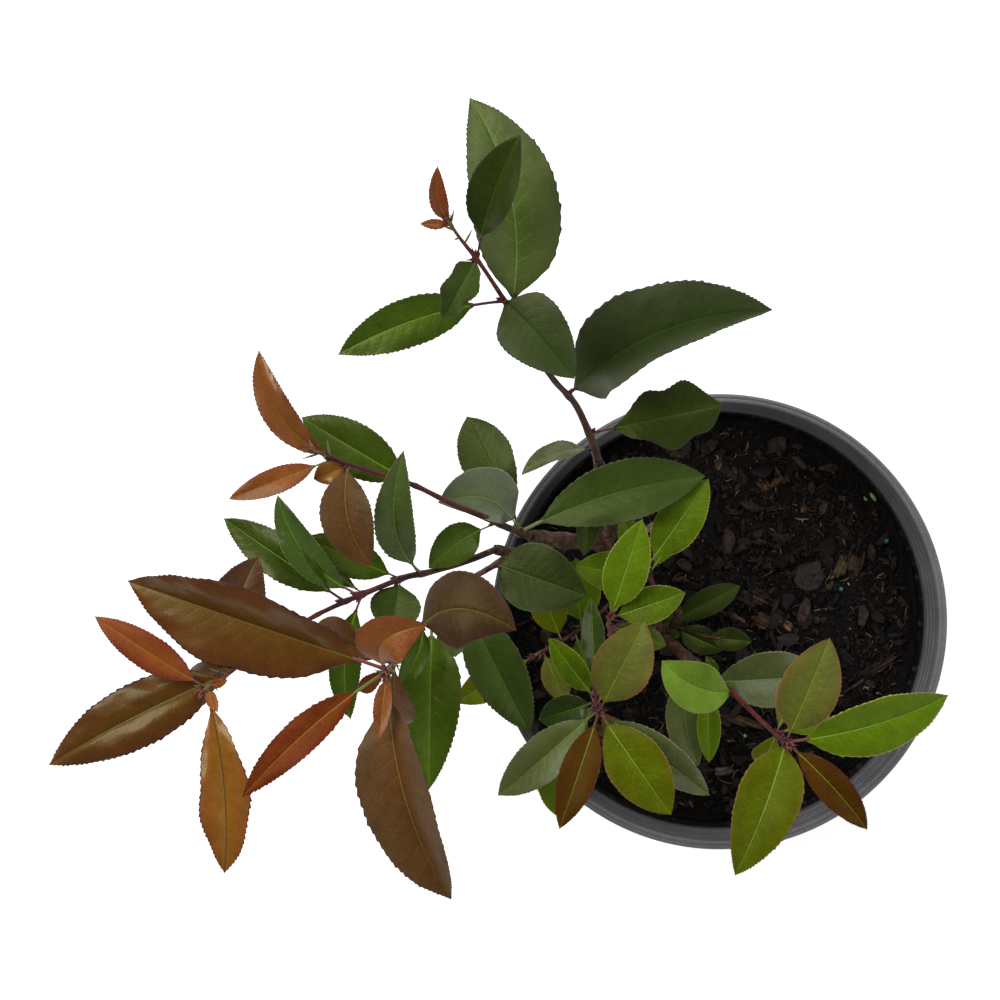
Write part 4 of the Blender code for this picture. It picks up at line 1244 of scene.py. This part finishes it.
def build_soil():
    """The soil: a closed body whose top is crumbly."""
    mesh = Mesh()
    points = []
    for ring in range(1, SOIL_RINGS + 1):
        for step in range(SOIL_SIDES):
            angle = math.tau * step / SOIL_SIDES
            edge = wall_radius(soil_height(angle, 1.0)) - 0.3
            radius = edge * (ring / SOIL_RINGS) ** 0.8
            x = radius * math.cos(angle)
            y = radius * math.sin(angle)
            points.append((x, y, soil_surface(x, y)))
    for radius, height in ((wall_radius(8) - 0.6, 8.0), (POT_BASE_RADIUS - 8, 3.2)):
        points += [(radius * x, radius * y, height) for x, y in circle(SOIL_SIDES)]
    mesh.add(points, ring_faces(SOIL_RINGS + 2, SOIL_SIDES, inward=True), "soil")
    mesh.piece("potting_soil", ("soil",))


def flake(mesh, x, y, length, width, thick, bearing, finish, dice, lean=0.3, corners=6):
    """A flat broken flake that lies on the soil, leaning by chance."""
    ahead = heading(bearing, dice.uniform(-lean, lean)).normalized()
    turn = math.radians(bearing)
    side = Vector((-math.sin(turn), math.cos(turn), dice.uniform(-lean, lean))).normalized()
    top = ahead.cross(side)
    centre = Vector((x, y, soil_surface(x, y) + 0.4 + thick * 0.3))
    upper = []
    lower = []
    for corner in range(corners):
        angle = math.tau * (corner + dice.uniform(-0.35, 0.35)) / corners
        reach = dice.uniform(0.66, 1.08)
        out = ahead * math.cos(angle) * length / 2 * reach \
            + side * math.sin(angle) * width / 2 * reach
        upper.append(centre + out * dice.uniform(0.80, 0.98)
                     + top * thick * dice.uniform(0.25, 0.75))
        lower.append(centre + out - top * thick / 2)
    crown = centre + top * thick * dice.uniform(0.4, 0.8) + ahead * length * dice.uniform(-0.1, 0.1)
    faces = [tuple(reversed(range(corners)))]
    for corner in range(corners):
        after = (corner + 1) % corners
        faces.append((corner, after, corners + after, corners + corner))
        faces.append((corners + corner, corners + after, 2 * corners))
    mesh.add(lower + upper + [crown], faces, finish, (0.0, 0.0, dice.random()))


def wood_chip(mesh, x, y, length, width, bearing, finish, dice):
    """A torn chip of bark: strands of wood side by side with ragged ends."""
    strands = max(2, round(width / STRAND_PITCH * dice.uniform(0.8, 1.1)))
    ahead = heading(bearing, dice.uniform(-0.06, 0.06))
    turn = math.radians(bearing)
    side = Vector((-math.sin(turn), math.cos(turn), dice.uniform(-0.15, 0.15)))
    foot = Vector((x, y, soil_surface(x, y)))
    for strand in range(strands):
        across = (strand + 0.5) / strands - 0.5
        run = length * dice.uniform(0.45, 1.0) * (1 - 0.6 * abs(across) ** 1.5)
        middle = foot + side * across * width + ahead * length * dice.uniform(-0.15, 0.15)
        middle.z += 0.5 + 0.5 * (1 - (2 * across) ** 2) + dice.uniform(-0.15, 0.15)
        broad = dice.uniform(0.75, 1.35)
        line = []
        radii = []
        for step in range(STRAND_STEPS):
            share = step / (STRAND_STEPS - 1) - 0.5
            sway = Vector((dice.uniform(-0.12, 0.12), dice.uniform(-0.12, 0.12),
                           dice.uniform(-0.15, 0.15)))
            line.append(middle + ahead * run * share + sway)
            radii.append(width / strands * (0.72 if 0 < step < STRAND_STEPS - 1 else 0.3)
                         * broad * dice.uniform(0.75, 1.15))
        tube(mesh, line, radii, 6, finish, 0.12, dice.uniform(0, 90),
             [(0.0, 0.0, dice.random())] * STRAND_STEPS)


def fibre(mesh, x, y, length, radius, bearing, finish, dice, curl=1.0):
    """A thin dry strand that lies on the soil in a slack curve."""
    steps = STRAND_STEPS
    turn = math.radians(bearing)
    bend = dice.uniform(-1.0, 1.0) * curl
    line = []
    place = Vector((x, y))
    for step in range(steps):
        line.append(Vector((place.x, place.y, soil_surface(place.x, place.y) + 0.35
                            + 0.9 * math.sin(math.pi * step / (steps - 1)) * dice.random())))
        place += Vector((math.cos(turn), math.sin(turn))) * length / steps
        turn += bend / steps + dice.uniform(-0.22, 0.22)
    radii = [radius * (0.5 + 0.6 * math.sin(math.pi * (step + 0.5) / steps))
             for step in range(steps)]
    tube(mesh, line, radii, 3, finish, marks=[(0.0, 0.0, dice.random())] * steps)


def place_on_soil(dice):
    """A random place on the soil inside the pot's wall."""
    while True:
        x = dice.uniform(-88, 88)
        y = dice.uniform(-88, 88)
        if math.hypot(x, y) < 86:
            return x, y


def scatter_crumbs(dice):
    """Crumbs and small flakes all over the soil, and pale specks."""
    crumbs = Mesh()
    kinds = ("crumb", "crumb", "crumb", "crumb_brown")
    for _ in range(3600):
        x, y = place_on_soil(dice)
        size = dice.choice((0.9, 1.2, 1.6, 2.2, 3.0))
        flake(crumbs, x, y, size * dice.uniform(0.9, 1.7), size * dice.uniform(0.4, 0.9),
              size * dice.uniform(0.2, 0.5), dice.uniform(0, 360), dice.choice(kinds), dice, 0.6, 5)
    kinds = ("chip_dark", "crumb", "crumb", "crumb_brown")
    for _ in range(320):
        x, y = place_on_soil(dice)
        size = dice.choice((dice.uniform(3.5, 7.0), dice.uniform(5.0, 11.0)))
        flake(crumbs, x, y, size * dice.uniform(1.0, 1.6), size * dice.uniform(0.4, 0.8),
              size * dice.uniform(0.10, 0.2), dice.uniform(0, 360), dice.choice(kinds), dice, 0.55, 7)
    kinds = ("chip_pale", "chip_tan", "speck")
    for _ in range(240):
        x, y = place_on_soil(dice)
        size = dice.uniform(0.5, 1.0)
        flake(crumbs, x, y, size * dice.uniform(1.0, 2.6), size * 0.8, size * 0.4,
              dice.uniform(0, 360), dice.choice(kinds), dice, 0.6, 5)
    crumbs.piece("soil_crumbs", facets=True)


def scatter_chips(dice):
    """Bark chips and flakes: the large ones at their places, the small ones anywhere."""
    chips = Mesh()
    for x, y, length, width, bearing, finish in FLAKES:
        flake(chips, x, y, length, width, 2.0, bearing, finish, dice, 0.12, 9)
    for x, y, length, width, bearing, finish in WOOD_CHIPS:
        wood_chip(chips, x, y, length, width, bearing, finish, dice)
    kinds = ("chip_brown", "crumb_brown", "chip_dark")
    for _ in range(200):
        x, y = place_on_soil(dice)
        wood_chip(chips, x, y, dice.uniform(3.0, 10.0), dice.uniform(0.7, 2.6),
                  dice.uniform(0, 360), dice.choice(kinds), dice)
    chips.piece("bark_chips", facets=True)


def scatter_fibres(dice):
    """Root fibres and straw all over, a tuft of them by the wall, and a few loops."""
    strands = Mesh()
    kinds = ("root", "root", "root", "straw_dark")
    for _ in range(1500):
        x, y = place_on_soil(dice)
        fibre(strands, x, y, dice.uniform(2.5, 9.0), dice.uniform(0.10, 0.26),
              dice.uniform(0, 360), dice.choice(kinds), dice, 1.6)
    kinds = ("root", "straw_dark", "straw_dark")
    for _ in range(260):
        x = dice.gauss(40, 18)
        y = dice.gauss(52, 13)
        if math.hypot(x, y) < 80:
            fibre(strands, x, y, dice.uniform(3, 9), dice.uniform(0.12, 0.30),
                  dice.uniform(0, 360), dice.choice(kinds), dice, 2.2)
    for _ in range(230):
        x, y = place_on_soil(dice)
        fibre(strands, x, y, dice.uniform(2.0, 7.0), dice.uniform(0.18, 0.42),
              dice.uniform(0, 360), "straw", dice)
    for x, y, length, bearing, curl in LOOPS:
        fibre(strands, x, y, length, 0.32, bearing, "straw", dice, curl)
    strands.piece("dry_fibres")


def place_beads():
    """Small beads of plant food on the soil."""
    beads = Mesh()
    for x, y, radius, finish, stretch, bearing in BEADS:
        ahead = heading(bearing, 0.25).normalized() * stretch
        centre = Vector((x, y, soil_surface(x, y) + radius * 1.2))
        line = [centre + ahead * radius * share for share, _ in BEAD_PROFILE]
        radii = [radius * size for _, size in BEAD_PROFILE]
        tube(beads, line, radii, 12, finish, 0.12, x)
    beads.piece("feed_beads")


def soil_finishes():
    """Moist dark soil, bark chips, dry strands and small beads."""
    finish = Finish("soil", Specular_IOR_Level=0.22)
    lumps = finish.grain(120.0, 5.0, 0.7)
    grit = finish.grain(1100.0, 3.0, 0.7)
    ramp = finish.ramp(lumps * 0.45 + grit * 0.55, (0.38, srgb(5, 4, 4)),
                       (0.58, srgb(19, 14, 12)), (0.78, srgb(54, 41, 32)))
    finish.set(Base_Color=ramp, Roughness=0.72 + grit * 0.25)
    finish.relief(grit + lumps, 0.0012)

    for name, (dark, light) in CHIP_COLOURS.items():
        finish = Finish(name, Specular_IOR_Level=0.25)
        rings = finish.grain(420.0, 4.0, 0.7)
        shade = finish.mark("shade")
        colour = finish.mix(finish.clip(rings, 0.3, 0.75), srgb(*dark), srgb(*light))
        finish.set(Base_Color=finish.dim(colour, 0.30 + shade ** 2.0 * 1.25),
                   Roughness=0.5 + rings * 0.3)
        finish.relief(rings, 0.0008)

    for name, base in (("straw", srgb(138, 118, 96)), ("straw_dark", srgb(70, 48, 33)),
                       ("root", srgb(40, 26, 18))):
        finish = Finish(name, Specular_IOR_Level=0.3)
        mottle = finish.grain(500.0, 2.0)
        shade = finish.mark("shade")
        finish.set(Base_Color=finish.dim(base, 0.15 + shade ** 2.0 * 0.85 + mottle * 0.3),
                   Roughness=0.55 + mottle * 0.2)

    for name, base in (("bead_teal", srgb(60, 112, 104)), ("bead_green", srgb(128, 152, 84))):
        mottled(name, base, 0.3, 0.3, 0.2, 0.5, 900.0)


# Studio
def soft_light(name, place, size, power):
    """A square soft light that faces the middle of the plant."""
    lamp = bpy.data.lights.new(name, "AREA")
    lamp.shape = "SQUARE"
    lamp.size = size
    lamp.energy = power
    thing = bpy.data.objects.new(name, lamp)
    thing.location = place
    bpy.context.scene.collection.objects.link(thing)
    thing.rotation_euler = (LIGHT_TARGET - thing.location).to_track_quat("-Z", "Y").to_euler()


def set_camera():
    """A camera that looks straight down, as in the photograph."""
    data = bpy.data.cameras.new("camera")
    data.sensor_width = SENSOR_WIDTH
    data.lens = SENSOR_WIDTH * CAMERA_ABOVE_RIM / FRAME_WIDTH_AT_RIM
    data.clip_end = 20.0
    camera = bpy.data.objects.new("camera", data)
    camera.location = (*CAMERA_PLACE, RIM_HEIGHT + CAMERA_ABOVE_RIM)
    bpy.context.scene.collection.objects.link(camera)
    bpy.context.scene.camera = camera


def set_studio():
    """A white floor, an even white surround and soft lamps, strongest from the left."""
    floor_mesh = bpy.data.meshes.new("floor")
    reach = 6.0
    floor_mesh.from_pydata([(-reach, -reach, 0), (reach, -reach, 0), (reach, reach, 0),
                            (-reach, reach, 0)], [], [(0, 1, 2, 3)])
    floor = bpy.data.objects.new("floor", floor_mesh)
    bpy.context.scene.collection.objects.link(floor)
    finish = Finish("floor", Roughness=0.9, Specular_IOR_Level=0.1, Emission_Strength=0.66)
    finish.set(Base_Color=(0.80, 0.80, 0.80), Emission_Color=(1.0, 1.0, 1.0))
    floor_mesh.materials.append(finish.material)
    soft_light("key", (-0.86, 0.46, 1.50), 0.75, 15.0)
    soft_light("fill", (1.35, -0.65, 1.15), 1.3, 7.0)
    soft_light("back", (0.35, 1.45, 1.20), 1.0, 12.0)
    world = bpy.data.worlds.new("studio")
    bpy.context.scene.world = world
    world.use_nodes = True
    tree = world.node_tree
    surround = tree.nodes["Background"]
    path = tree.nodes.new("ShaderNodeLightPath")
    bright = tree.nodes.new("ShaderNodeMapRange")
    bright.inputs["To Min"].default_value = 0.22
    bright.inputs["To Max"].default_value = 1.0
    tree.links.new(path.outputs["Is Camera Ray"], bright.inputs["Value"])
    tree.links.new(bright.outputs[0], surround.inputs["Strength"])
    surround.inputs["Color"].default_value = (1.0, 1.0, 1.0, 1.0)
    bpy.context.scene.view_settings.view_transform = "Standard"


def main():
    """Build the studio, the pot, the soil and the plant."""
    set_camera()
    set_studio()
    leaf_finishes()
    wood_finishes()
    pot_finish()
    soil_finishes()
    build_pot()
    build_soil()
    dice = random.Random(4711)
    scatter_crumbs(dice)
    scatter_chips(dice)
    scatter_fibres(dice)
    place_beads()
    grow_wood()
    for number, shoot in enumerate(SHOOTS):
        grow_shoot(shoot, number)


main()
